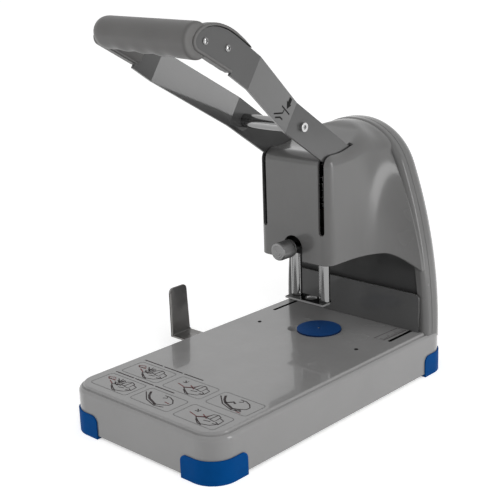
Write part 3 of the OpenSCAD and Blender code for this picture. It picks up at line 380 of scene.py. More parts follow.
class Effects:
    """Builds each shared shader group once and hands it out."""

    def __init__(self) -> None:
        """Builds the groups."""
        self.groups: dict[Effect, bpy.types.NodeTree] = {}
        makers: dict[Effect, Callable[[bpy.types.NodeTree], None]] = {
            Effect.GRAIN: self.grain,
            Effect.STREAKS: self.streaks,
            Effect.EDGES: self.edges,
            Effect.DUST: self.dust,
        }
        for effect, maker in makers.items():
            tree = bpy.data.node_groups.new(effect.value, "ShaderNodeTree")
            maker(tree)
            self.groups[effect] = tree

    @staticmethod
    def sockets(tree: bpy.types.NodeTree, inputs: dict[str, float],
                outputs: Sequence[str]) -> tuple[bpy.types.Node, bpy.types.Node]:
        """Gives a group its number inputs and outputs.

        Args:
            tree: The group.
            inputs: Name and default of each input.
            outputs: Names of the outputs.

        Returns:
            The group's input node and output node.
        """
        for name, value in inputs.items():
            socket = tree.interface.new_socket(name, in_out="INPUT", socket_type="NodeSocketFloat")
            socket.default_value = value
        for name in outputs:
            tree.interface.new_socket(name, in_out="OUTPUT", socket_type="NodeSocketFloat")
        return tree.nodes.new("NodeGroupInput"), tree.nodes.new("NodeGroupOutput")

    @staticmethod
    def hand_out(tree: bpy.types.NodeTree, result: bpy.types.Node,
                 *values: bpy.types.NodeSocket) -> None:
        """Links values to a group's outputs, in order."""
        for socket, value in zip(result.inputs, values):
            tree.links.new(value, socket)

    @staticmethod
    def place(tree: bpy.types.NodeTree) -> bpy.types.NodeSocket:
        """The place on the piece, in its own coordinates."""
        return add_node(tree, "TexCoord").outputs["Object"]

    @staticmethod
    def noise(tree: bpy.types.NodeTree, place: bpy.types.NodeSocket,
              scale: float | bpy.types.NodeSocket, detail: float,
              roughness: float = 0.5) -> bpy.types.NodeSocket:
        """A noise value, whose scale is a number or a socket."""
        node = add_node(tree, "TexNoise", place, Detail=detail, Roughness=roughness)
        if isinstance(scale, float):
            node.inputs["Scale"].default_value = scale
        else:
            tree.links.new(scale, node.inputs["Scale"])
        return node.outputs["Fac"]

    @staticmethod
    def spread(tree: bpy.types.NodeTree, value: bpy.types.NodeSocket, low: float,
               high: float) -> bpy.types.NodeSocket:
        """Stretches a value so that low to high becomes 0 to 1."""
        node = add_node(tree, "MapRange", value, From_Min=low, From_Max=high)
        return node.outputs["Result"]

    def grain(self, tree: bpy.types.NodeTree) -> None:
        """Fine relief and slow cloudy variation of a moulded or painted face."""
        source, result = self.sockets(tree, {"Fine": 900.0, "Broad": 18.0},
                                      ["Relief", "Cloud", "Speck"])
        place = self.place(tree)
        fine = self.noise(tree, place, source.outputs["Fine"], 3.0)
        broad = self.noise(tree, place, source.outputs["Broad"], 4.0, 0.6)
        speck = self.noise(tree, place, 2600.0, 1.0)
        self.hand_out(tree, result, fine, self.spread(tree, broad, 0.3, 0.7),
                      self.spread(tree, speck, 0.66, 0.8))

    def streaks(self, tree: bpy.types.NodeTree) -> None:
        """Fine parallel lines of drawn, ground or turned metal."""
        ways = [f"Along {axis}" for axis in "XYZ"]
        source, result = self.sockets(tree, dict.fromkeys(ways, 1.0), ["Lines", "Haze"])
        place = self.place(tree)
        stretch = add_node(tree, "CombineXYZ", *(source.outputs[way] for way in ways))
        scaled = add_node(tree, "VectorMath", place, stretch.outputs["Vector"],
                          operation="MULTIPLY")
        lines = self.noise(tree, scaled.outputs["Vector"], 1.0, 4.0, 0.65)
        haze = self.noise(tree, place, 45.0, 3.0)
        self.hand_out(tree, result, lines, self.spread(tree, haze, 0.35, 0.65))

    def edges(self, tree: bpy.types.NodeTree) -> None:
        """A mask of the outward edges, broken up where handling has rubbed them."""
        source, result = self.sockets(tree, {"From": 0.52, "To": 0.6}, ["Mask"])
        form = add_node(tree, "NewGeometry")
        pick = add_node(tree, "MapRange", form.outputs["Pointiness"], source.outputs["From"],
                        source.outputs["To"])
        breaks = self.spread(tree, self.noise(tree, self.place(tree), 260.0, 4.0), 0.35, 0.6)
        self.hand_out(tree, result, product(tree, pick.outputs["Result"], breaks))

    def dust(self, tree: bpy.types.NodeTree) -> None:
        """A thin film of paper dust on faces that look upward."""
        source, result = self.sockets(tree, {"Amount": 0.1}, ["Mask"])
        form = add_node(tree, "NewGeometry")
        apart = add_node(tree, "SeparateXYZ", form.outputs["Normal"])
        upward = self.spread(tree, apart.outputs["Z"], 0.55, 1.0)
        cloud = self.spread(tree, self.noise(tree, self.place(tree), 30.0, 6.0, 0.7), 0.4, 0.75)
        held = product(tree, upward, cloud)
        self.hand_out(tree, result, product(tree, held, source.outputs["Amount"]))


class Bench:
    """One material's node tree, with short ways to add what the finishes share."""

    effects: ClassVar[Effects]

    def __init__(self, name: str) -> None:
        """Starts a material of that name."""
        self.material = bpy.data.materials.new(name)
        self.material.use_nodes = True
        self.tree = self.material.node_tree
        self.shader = self.tree.nodes["Principled BSDF"]

    def plain(self, **values: float) -> None:
        """Sets constant sockets of the shader, named with underscores for blanks."""
        set_values(self.shader, values)

    def group(self, effect: Effect, **values: float) -> bpy.types.Node:
        """Places a shared group with its own values."""
        node = self.tree.nodes.new("ShaderNodeGroup")
        node.node_tree = self.effects.groups[effect]
        set_values(node, values)
        return node

    def tint(self, below: bpy.types.NodeSocket | Color, above: Color,
             mask: bpy.types.NodeSocket, share: float = 1.0) -> bpy.types.NodeSocket:
        """Mixes a colour over another where a mask says so.

        Args:
            below: The colour, or the colour socket, underneath.
            above: The colour on top.
            mask: Where the top colour shows.
            share: How strongly it shows where the mask is 1.

        Returns:
            The mixed colour.
        """
        mix = self.tree.nodes.new("ShaderNodeMix")
        mix.data_type = "RGBA"
        self.tree.links.new(self.scaled(mask, share), mix.inputs[0])
        if isinstance(below, bpy.types.NodeSocket):
            self.tree.links.new(below, mix.inputs[6])
        else:
            mix.inputs[6].default_value = (*below, 1.0)
        mix.inputs[7].default_value = (*above, 1.0)
        return mix.outputs[2]

    def scaled(self, value: bpy.types.NodeSocket, by: float,
               plus: float = 0.0) -> bpy.types.NodeSocket:
        """Multiplies a value and adds to it."""
        node = add_node(self.tree, "Math", value, operation="MULTIPLY_ADD")
        node.inputs[1].default_value = by
        node.inputs[2].default_value = plus
        return node.outputs["Value"]

    def relief(self, height: bpy.types.NodeSocket, depth: float) -> None:
        """Feeds a height into the shader's normal, its depth in millimetres."""
        bump = add_node(self.tree, "Bump", Distance=depth * MM, Strength=1.0)
        self.tree.links.new(height, bump.inputs["Height"])
        self.tree.links.new(bump.outputs["Normal"], self.shader.inputs["Normal"])

    def feed(self, value: bpy.types.NodeSocket, name: str) -> None:
        """Links a value into one of the shader's sockets."""
        self.tree.links.new(value, self.shader.inputs[name])


def shade_of(level: float, warm: float = 0.0) -> Color:
    """The linear colour of a display grey from 0 to 255, a little warmer or cooler."""
    def linear(c: float) -> float:
        """One display value as a linear one."""
        c = max(min(c / 255, 1.0), 0.0)
        return c / 12.92 if c <= 0.04045 else ((c + 0.055) / 1.055) ** 2.4

    return (linear(level + warm), linear(level), linear(level - warm))


def linear_color(r: float, g: float, b: float) -> Color:
    """The linear colour of a display colour from 0 to 255."""
    return (shade_of(r)[1], shade_of(g)[1], shade_of(b)[1])


def lighter(color: Color, by: float) -> Color:
    """A colour made lighter, or darker with a factor under 1."""
    return tuple(min(c * by, 1.0) for c in color)


@dataclass(frozen=True)
class Enamel:
    """Stoved paint over sheet steel: glossy, with a trace of orange peel."""

    name: str
    color: Color
    roughness: float = 0.24
    coat: float = 0.55
    gloss: float = 0.05
    peel: float = 0.006
    metal: float = 0.0
    dust: float = 0.05

    def material(self) -> bpy.types.Material:
        """Builds the material."""
        bench = Bench(self.name)
        grain = bench.group(Effect.GRAIN, Fine=420.0, Broad=9.0)
        edges = bench.group(Effect.EDGES, From=0.53, To=0.68)
        dust = bench.group(Effect.DUST, Amount=self.dust)
        color = bench.tint(lighter(self.color, 0.96), lighter(self.color, 1.05),
                           grain.outputs["Cloud"])
        color = bench.tint(color, lighter(self.color, 0.82), grain.outputs["Speck"], 0.25)
        color = bench.tint(color, lighter(self.color, 1.3), edges.outputs["Mask"], 0.35)
        color = bench.tint(color, shade_of(190), dust.outputs["Mask"])
        bench.feed(color, "Base Color")
        bench.feed(bench.scaled(grain.outputs["Cloud"], 0.08, self.roughness - 0.04), "Roughness")
        bench.relief(grain.outputs["Relief"], self.peel)
        bench.plain(Metallic=self.metal, Coat_Weight=self.coat, Coat_Roughness=self.gloss,
                    Specular_IOR_Level=0.2)
        return bench.material


@dataclass(frozen=True)
class Moulded:
    """Injection-moulded plastic with a fine spark-eroded grain."""

    name: str
    color: Color
    roughness: float = 0.42
    grain: float = 0.03
    fine: float = 1500.0
    specular: float = 0.4

    def material(self) -> bpy.types.Material:
        """Builds the material."""
        bench = Bench(self.name)
        grain = bench.group(Effect.GRAIN, Fine=self.fine, Broad=24.0)
        edges = bench.group(Effect.EDGES, From=0.53, To=0.7)
        dust = bench.group(Effect.DUST, Amount=0.06)
        color = bench.tint(lighter(self.color, 0.92), lighter(self.color, 1.1),
                           grain.outputs["Cloud"])
        color = bench.tint(color, lighter(self.color, 1.7), edges.outputs["Mask"], 0.5)
        color = bench.tint(color, lighter(self.color, 2.0), dust.outputs["Mask"])
        bench.feed(color, "Base Color")
        bench.feed(bench.scaled(grain.outputs["Cloud"], 0.12, self.roughness - 0.06), "Roughness")
        bench.relief(grain.outputs["Relief"], self.grain)
        bench.plain(Specular_IOR_Level=self.specular)
        return bench.material


@dataclass(frozen=True)
class Metal:
    """Bare or plated metal with drawn, ground or turned lines."""

    name: str
    color: Color
    roughness: float
    lines: tuple[float, float, float] = (2000.0, 2000.0, 40.0)
    depth: float = 0.004
    bare_edges: float = 0.0

    def material(self) -> bpy.types.Material:
        """Builds the material."""
        bench = Bench(self.name)
        streaks = bench.group(Effect.STREAKS, Along_X=self.lines[0], Along_Y=self.lines[1],
                              Along_Z=self.lines[2])
        color = bench.tint(lighter(self.color, 0.9), lighter(self.color, 1.06),
                           streaks.outputs["Lines"])
        if self.bare_edges:
            edges = bench.group(Effect.EDGES, From=0.52, To=0.58)
            color = bench.tint(color, shade_of(215), edges.outputs["Mask"], self.bare_edges)
        bench.feed(color, "Base Color")
        bench.feed(bench.scaled(streaks.outputs["Haze"], self.roughness * 0.5,
                                self.roughness * 0.75), "Roughness")
        bench.relief(streaks.outputs["Lines"], self.depth)
        bench.plain(Metallic=1.0)
        return bench.material


@dataclass(frozen=True)
class Print:
    """Screen-printed ink on paint, a little thin in places."""

    name: str
    color: Color
    ground: Color

    def material(self) -> bpy.types.Material:
        """Builds the material."""
        bench = Bench(self.name)
        grain = bench.group(Effect.GRAIN, Fine=3000.0, Broad=380.0)
        bench.feed(bench.tint(self.color, self.ground, grain.outputs["Cloud"], 0.25), "Base Color")
        bench.feed(bench.scaled(grain.outputs["Cloud"], 0.15, 0.45), "Roughness")
        bench.relief(grain.outputs["Relief"], 0.004)
        bench.plain(Specular_IOR_Level=0.05)
        return bench.material


Finish = Enamel | Moulded | Metal | Print

GREY = shade_of(128, 0.4)
PAINT = Enamel("grey_enamel", GREY)
# A darker copy of the grey enamel for the hood and its cover: painted shade, as the hood stands in
# darker light than the base.
HOOD_SHADE_PAINT = Enamel("hood_enamel_painted_shade", shade_of(88, 0.4), gloss=0.16, dust=0.01)
# Dark grey: painted shade of the closing panel under the hood; the bottom plate shares it.
PANEL_SHADE_PAINT = Enamel("panel_enamel_painted_shade", shade_of(56), roughness=0.45, coat=0.1, dust=0.0)
GAUGE_PAINT = Enamel("gauge_enamel", shade_of(74), roughness=0.4, coat=0.3, dust=0.0)
ARM_PAINT = Enamel("arm_enamel", shade_of(68), roughness=0.3, coat=0.6, metal=0.1, dust=0.0)
GRIP = Moulded("grip_plastic", shade_of(82, 0.8), roughness=0.42)
FOOT = Moulded("foot_plastic", linear_color(2, 64, 122), roughness=0.5, specular=0.03)
DISC = Moulded("disc_plastic", linear_color(16, 60, 112), roughness=0.45, grain=0.02,
               specular=0.12)
# Darker blue for the disc's side faces: painted shade along the disc's rim.
DISC_SIDE_SHADE = Moulded("disc_side_painted_shade", linear_color(10, 30, 62), roughness=0.5, grain=0.02,
                    specular=0.1)
# Near black for the sleeves in the gauge slots: painted shade inside the slots.
SLOT_SHADE = Moulded("slot_shade_sleeve", shade_of(10), roughness=0.6, specular=0.05)
# Darker than bright chrome: its colour paints in the dark surroundings that it reflects.
CHROME = Metal("chrome", shade_of(140), 0.12, depth=0.001)
BRIGHT = Metal("bright_steel", shade_of(150), 0.26)
TURNED = Metal("turned_steel", shade_of(122), 0.3, lines=(60.0, 2600.0, 60.0))
SHEET = Metal("sheet_steel", shade_of(128, 1.5), 0.4, lines=(1800.0, 1800.0, 60.0), depth=0.003)
# Near black; on the frame parts inside the hood it paints in the shade there, so the slots read
# black.
DARK = Metal("dark_steel", shade_of(36), 0.6)
BLACKED = Metal("blacked_steel", shade_of(34), 0.36)
# Pale steel; on the gauge's and presser plate's rims it is a painted highlight along their edges.
PALE_STEEL = Metal("pale_steel", shade_of(150), 0.35)
PLATED = Metal("plated_steel", shade_of(190), 0.18)
BRONZE = Metal("bronze", linear_color(170, 134, 82), 0.3)
INK = Print("printed_ink", linear_color(36, 26, 28), GREY)
RED_INK = Print("red_ink", linear_color(104, 58, 58), GREY)
FRAME_INK = Print("frame_ink", shade_of(98), GREY)
ARM_INK = Print("arm_ink", shade_of(12), shade_of(24))


class Workshop:
    """Keeps the built materials, and puts finishes and bodies on the pieces."""

    def __init__(self) -> None:
        """Starts with the shader groups and no materials."""
        Bench.effects = Effects()
        self.built: dict[str, bpy.types.Material] = {}

    def material(self, finish: Finish) -> bpy.types.Material:
        """The material of a finish, built once."""
        if finish.name not in self.built:
            self.built[finish.name] = finish.material()
        return self.built[finish.name]

    def paint(self, piece: bpy.types.Object, finish: Finish) -> None:
        """Gives every face of a piece one finish."""
        material = self.material(finish)
        if piece.material_slots:
            for holder in piece.material_slots:
                holder.material = material
        else:
            piece.data.materials.append(material)

    def edge(self, piece: bpy.types.Object, finish: Finish, axis: Axis, share: float) -> None:
        """Gives a plate's rim, the faces that look across its axis, a finish of their own."""
        piece.data.materials.append(self.material(finish))
        last = len(piece.data.materials) - 1
        along = "xyz".index(axis.value)
        for face in piece.data.polygons:
            if abs(face.normal[along]) < share:
                face.material_index = last

    def place(self, piece: bpy.types.Object, body: str, finish: Finish,
              slot: str | None, *nodes: str) -> bpy.types.Object:
        """Finishes a piece, lets it ride on its body and lets it stand for CAD nodes.

        Args:
            piece: The piece.
            body: The CAD body that it moves with.
            finish: Its finish.
            slot: The record's material slot, or None. Not used.
            nodes: The CAD nodes that it stands for.

        Returns:
            The piece.
        """
        self.paint(piece, finish)
        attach(piece, body)
        if nodes:
            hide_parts(*nodes)
        log.info("%s rides on %s", piece.name, body)
        return piece


# ---------------------------------------------------------------- the base


@dataclass
class Base:
    """The pressed base with its openings, feet, black slot sleeves of painted shade and index
    marks.
    """

    shop: Workshop
    width: float = 200.0
    depth: float = 361.0
    shoulder_z: float = 46.1
    gap: float = 3.1
    corner_r: float = 25.0
    shoulder_r: float = 5.0
    rise: float = 2.3
    inset: float = 4.5
    edge_r: float = 2.0
    sheet: float = 2.0
    slot_x: float = 81.0
    slot_w: float = 4.0
    slot_front: float = 100.0
    slot_len: float = 47.2
    disc_y: float = 83.5
    disc_r: float = 24.2
    scoop: tuple[float, float, float] = (-22.0, 70.0, 9.0)
    scoop_depth: float = 3.0
    bowl_sheet: float = 0.6
    disc_gap: float = 0.4
    hem: float = 0.7
    groove: tuple[tuple[float, float], ...] = (
        (3.45, 45.35), (3.85, 45.02), (4.25, 45.15), (4.46, 45.6))
    passage_y: tuple[float, float] = (-18.3, 11.3)
    passage_z: tuple[float, float] = (39.7, 42.3)
    passage_x: tuple[float, float] = (-102.0, -97.0)
    mark_x: float = 67.7
    mark_y: float = 61.5
    # Wall of the black sleeves that paint in the slots' shade.
    shade_sleeve_sheet: float = 0.25

    @property
    def top(self) -> float:
        """Height of the top panel."""
        return self.shoulder_z + self.rise

    def section(self, grow: float = 0.0) -> Outline:
        """The outer section from the lower edge to the top panel, as (inset, height)."""
        hem = self.hem
        centre = self.shoulder_z - self.shoulder_r
        r = self.shoulder_r + grow
        outline = [(hem - grow, self.gap - grow), (0.2 * hem - grow, self.gap + 0.2 * hem),
                   (-grow, self.gap + hem)]
        outline += [(-grow, self.gap + (centre - self.gap) * i / 5) for i in range(1, 5)]
        outline += [(self.shoulder_r - r * math.cos(a), centre + r * math.sin(a))
                    for a in angles(0, 69, 8)]
        if not grow:
            outline += self.groove
        e = self.edge_r + grow
        outline += [(self.inset + self.edge_r - e * math.cos(a),
                     self.top - self.edge_r + e * math.sin(a)) for a in angles(0, 91, 9)]
        return outline

    def lining(self) -> Outline:
        """The inner section, a sheet's thickness inside."""
        s = self.sheet
        r = self.shoulder_r - s
        centre = self.shoulder_z - self.shoulder_r
        bend = [(self.shoulder_r - r * math.cos(a), centre + r * math.sin(a))
                for a in angles(0, 81, 20)]
        return [(s, self.gap)] + bend + [(self.inset + s, self.top - s)]

    def ring(self, inset: float, z: float, steps: int = 18) -> list[Point]:
        """One closed row round the base."""
        w, d = self.width / 2 - self.corner_r, self.depth / 2 - self.corner_r
        r = self.corner_r - inset
        row = []
        for sx, sy, start in ((1, 1, 0), (-1, 1, 90), (-1, -1, 180), (1, -1, 270)):
            row += [(sx * w + x, sy * d + y, z)
                    for x, y in corner_arc(0, 0, r, start, start + 90, steps)]
        return row

    def envelope(self, grow: float) -> bpy.types.Object:
        """The base's outer form as one solid, grown all round."""
        return loft("base_envelope", [self.ring(*p) for p in self.section(grow)])

    def slots(self, inset: float, steps: int) -> list[Outline]:
        """Outlines of the two gauge slots, left then right."""
        r = self.slot_w / 2
        low, high = self.slot_front + r, self.slot_front + self.slot_len - r
        return [slot_outline(side * self.slot_x, low, high, r - inset, steps)
                for side in (-1, 1)]

    def disc_opening(self, low: float, high: float) -> bpy.types.Object:
        """What the disc's opening takes away."""
        r = self.disc_r + self.disc_gap
        return turned("hole", [(r, low), (r, high)], (0, self.disc_y, 0), steps=128)

    def shell(self) -> bpy.types.Object:
        """The pressed shell with its openings and its finger scoop."""
        outer = [self.ring(*p) for p in self.section()]
        inner = [self.ring(*p) for p in self.lining()]
        count = len(outer[0])
        rows = len(outer)
        first = rows * count
        faces = ring_skin(rows, count) + ring_skin(len(inner), count, first=first)
        faces += [[j, (j + 1) % count, first + (j + 1) % count, first + j] for j in range(count)]
        faces.append([first - count + j for j in range(count)])
        faces.append([first + len(inner) * count - count + j for j in range(count)])
        shell = solid("base_pressing", [p for row in outer + inner for p in row], faces)
        low, high = self.top - self.sheet - 1, self.top + 1
        cutters = [self.disc_opening(low, high)]
        cutters += [prism("slot", slot, low, high, Axis.Z) for slot in self.slots(0.0, 16)]
        (front, rear), (floor, roof) = self.passage_y, self.passage_z
        passage = [(front, floor), (rear, floor), (rear, roof), (front, roof)]
        cutters.append(prism("passage", passage, *self.passage_x, Axis.X))
        x, y, r = self.scoop
        ball = (r * r + self.scoop_depth ** 2) / (2 * self.scoop_depth)
        dip = [(ball * math.sin(a), self.top + ball - self.scoop_depth - ball * math.cos(a))
               for a in (math.radians(3 * i + 0.01) for i in range(61))]
        cutters.append(turned("dip", dip, (x, y, 0), steps=96))
        carve(shell, cutters)
        inside = [p for p in dip if p[1] <= self.top - 0.02]
        below = [(r, z - self.bowl_sheet) for r, z in reversed(inside)]
        bowl = turned("bowl", inside + below, (x, y, 0.03), steps=96)
        carve(bowl, [self.disc_opening(low - 4, high)])
        return joined("base_pressing", [shell, bowl])

    def feet(self) -> bpy.types.Object:
        """The four moulded corner feet with soft edges."""
        return rounded_copy("corner_feet", "corner_pads", 0.7)

    def shade_sleeves(self) -> bpy.types.Object:
        """Black sleeves inside the two gauge slots, which paint in the shade in the slots."""
        low, high = self.top - self.sheet, self.top - 0.05
        stages = ((0.0, low), (0.0, high), (self.shade_sleeve_sheet, high), (self.shade_sleeve_sheet, low))
        sleeves = []
        for side in range(2):
            rows = [[(x, y, z) for x, y in self.slots(inset, 12)[side]] for inset, z in stages]
            sleeves.append(loft("sleeve", rows + rows[:1], capped=False))
        return soften(joined("slot_shade_sleeves", sleeves), 0.0)

    def marks(self) -> bpy.types.Object:
        """The two small raised index marks in line with the drill."""
        profile = [(0.01, 0.8), (1.0, 0.75), (1.8, 0.45), (2.3, 0.02), (2.3, -0.3), (0.01, -0.3)]
        return joined("index_marks", [
            turned("mark", profile, (side * self.mark_x, self.mark_y, self.top))
            for side in (-1, 1)])

    def build(self) -> None:
        """Makes and places everything that belongs to the base."""
        self.shop.place(self.shell(), "frame", PAINT, "paint", "base_shell")
        self.shop.place(self.feet(), "frame", FOOT, "foot_plastic", "corner_feet")
        self.shop.place(self.marks(), "frame", DARK, "dark_paint")
        self.shop.place(self.shade_sleeves(), "frame", SLOT_SHADE, None)
        Prints(self.shop, self.top).build()


@dataclass
class Prints:
    """Printed pictograms, rules and a scale on the top panel."""

    shop: Workshop
    top: float
    ink: float = 0.05
    frame_w: float = 52.0
    frame_d: float = 28.5
    frame_r: float = 3.5
    frame_line: float = 0.8
    dark_line: float = 1.15
    red_line: float = 1.2
    thick_line: float = 2.4
    rule_line: float = 1.6
    scale_line: float = 0.9
    tick_line: float = 0.7
    shrink: float = 0.98
    tick_x: float = 75.2
    tick_y: float = 102.0
    tick_step: float = 3.1
    ticks: int = 12

    PLACES: ClassVar[Outline] = [(-56.0, -114.0), (4.0, -114.0), (63.0, -114.0),
                                 (-57.7, -152.0), (0.8, -152.0), (59.8, -152.0)]
    # Each rule's place along Y, its left end and its right end.
    RULES: ClassVar[list[Point]] = [(-94.7, -83.5, 3.5), (-133.0, -83.7, 3.2)]
    SCALE: ClassVar[Outline] = [(62.9, 98.7), (74.5, 99.5), (76.0, 138.5), (64.5, 138.0)]
    MACHINE: ClassVar[list[Outline]] = [
        [(3, 1), (4, 9), (9, 11), (14, 9), (15, -1), (3, 1)],
        [(15, 7), (21, 5), (22, -3), (16, -5)],
        [(9, 10), (8, 0)], [(-6, -4), (2, -9), (8, -12), (17, -9), (21, -4)], [(-6, -4), (3, 1)],
        [(-3, -7), (5, -12.5), (10, -13)], [(5, -5), (12, -3)], [(17, -1), (22, -3)],
    ]
    HANDS: ClassVar[list[Outline]] = [
        [(-10, 9), (-4, 5), (2, 8)], [(-8, 6), (-1, 2), (4, 5)], [(-5, 11), (-3, 3)],
        [(-1, 10), (-5, -1), (2, -3)], [(-7, 2), (-2, -2), (5, -1)], [(1, 9), (-2, 0)],
    ]
    PAPER: ClassVar[list[Outline]] = [[(-22, 6), (-15, 9), (-11, 6), (-18, 3), (-22, 6)],
                                      [(-20, 4), (-9, 4)], [(-14, 1), (-6, -3)]]
    ARROW: ClassVar[list[Outline]] = [[(-16, 9), (-12, 5)], [(-16, 5), (-12, 5), (-12, 9)]]
    ARC: ClassVar[list[Outline]] = [
        [(-2, 10), (5, 10), (12, 7), (17, 2), (17, -3)], [(0, 5), (4, 7), (2, 9)],
        [(-24, 5), (-10, -7), (6, -12), (16, -9)], [(4, -9), (10, -7), (17, -3)],
    ]
    LEVER: ClassVar[list[Outline]] = [[(-20, 8), (-15, 1), (-9, -4)],
                                      [(-9, -4), (-1, -7), (6, -10)]]

    def stories(self) -> list[tuple[list[Outline], list[Outline], list[Outline]]]:
        """Each pictogram's fine dark, fine red and thick dark strokes, row by row."""
        pull = [(-18, 0), (-6, -3), (0, 1), (4, 6)]
        knot = [[(6, -9), (13, -10), (14, -7), (8, -8)], [(10, -11), (15, -8)]]
        vee = [(-9, -4), (-4, 2), (0, 0)]
        use = (self.MACHINE + self.HANDS, self.PAPER, [])
        press = (self.MACHINE + self.ARROW, [pull, [(-4, 4), (5, -1)]], [])
        return [use, press, (self.ARC + knot, [[(12, -12), (18, -12)]], self.LEVER + [vee]),
                use, (self.ARC, [[(8, 0), (15, -1)]], self.LEVER), press]

    def stroke(self, line: Outline, width: float, closed: bool = False) -> bpy.types.Object:
        """A flat band of ink along a line.

        Args:
            line: The middle line, in panel coordinates.
            width: The band's width.
            closed: Whether the line's ends join.

        Returns:
            The band, a little proud of the panel.
        """
        points = [Vector(p) for p in line]
        last = len(points) - 1
        top, low = self.top + self.ink, self.top - self.ink
        rows = []
        for i, here in enumerate(points):
            before = points[i - 1] if i or closed else here
            after = points[(i + 1) % len(points)] if i < last or closed else here
            way = (after - before).normalized()
            side = Vector((-way.y, way.x)) * width / 2
            left, right = here + side, here - side
            rows.append([(*left, top), (*right, top), (*right, low), (*left, low)])
        if closed:
            rows.append(rows[0])
        return loft("stroke", rows, capped=not closed)

    def build(self) -> None:
        """Prints the six frames, their rules and the scale."""
        outlines, drawings, tinted = [], [], []
        for (x, y), (dark, red, thick) in zip(self.PLACES, self.stories()):
            box = [(x + a, y + b)
                   for a, b in rounded_box(self.frame_w, self.frame_d, self.frame_r, 5)]
            outlines.append(self.stroke(box, self.frame_line, closed=True))
            for lines, width, heap in ((dark, self.dark_line, drawings),
                                       (red, self.red_line, tinted),
                                       (thick, self.thick_line, drawings)):
                heap += [self.stroke([(x + a * self.shrink, y + b * self.shrink)
                                      for a, b in line], width) for line in lines]
        for y, start, end in self.RULES:
            third = (end - start) / 3
            drawings += [self.stroke([(start + third * i, y), (start + third * (i + 0.93), y)],
                                     self.rule_line) for i in range(3)]
        drawings.append(self.stroke(self.SCALE, self.scale_line, closed=True))
        for i in range(self.ticks):
            y = self.tick_y + self.tick_step * i
            reach = 7.0 if i % 4 == 0 else 4.0
            drawings.append(self.stroke([(self.tick_x - reach, y), (self.tick_x, y)],
                                        self.tick_line))
        self.shop.place(joined("pictogram_tints", tinted), "frame", RED_INK, None)
        self.shop.place(joined("pictogram_frames", outlines), "frame", FRAME_INK, None)
        self.shop.place(joined("pictogram_lines", drawings), "frame", INK, None)


# ---------------------------------------------------------------- the hood


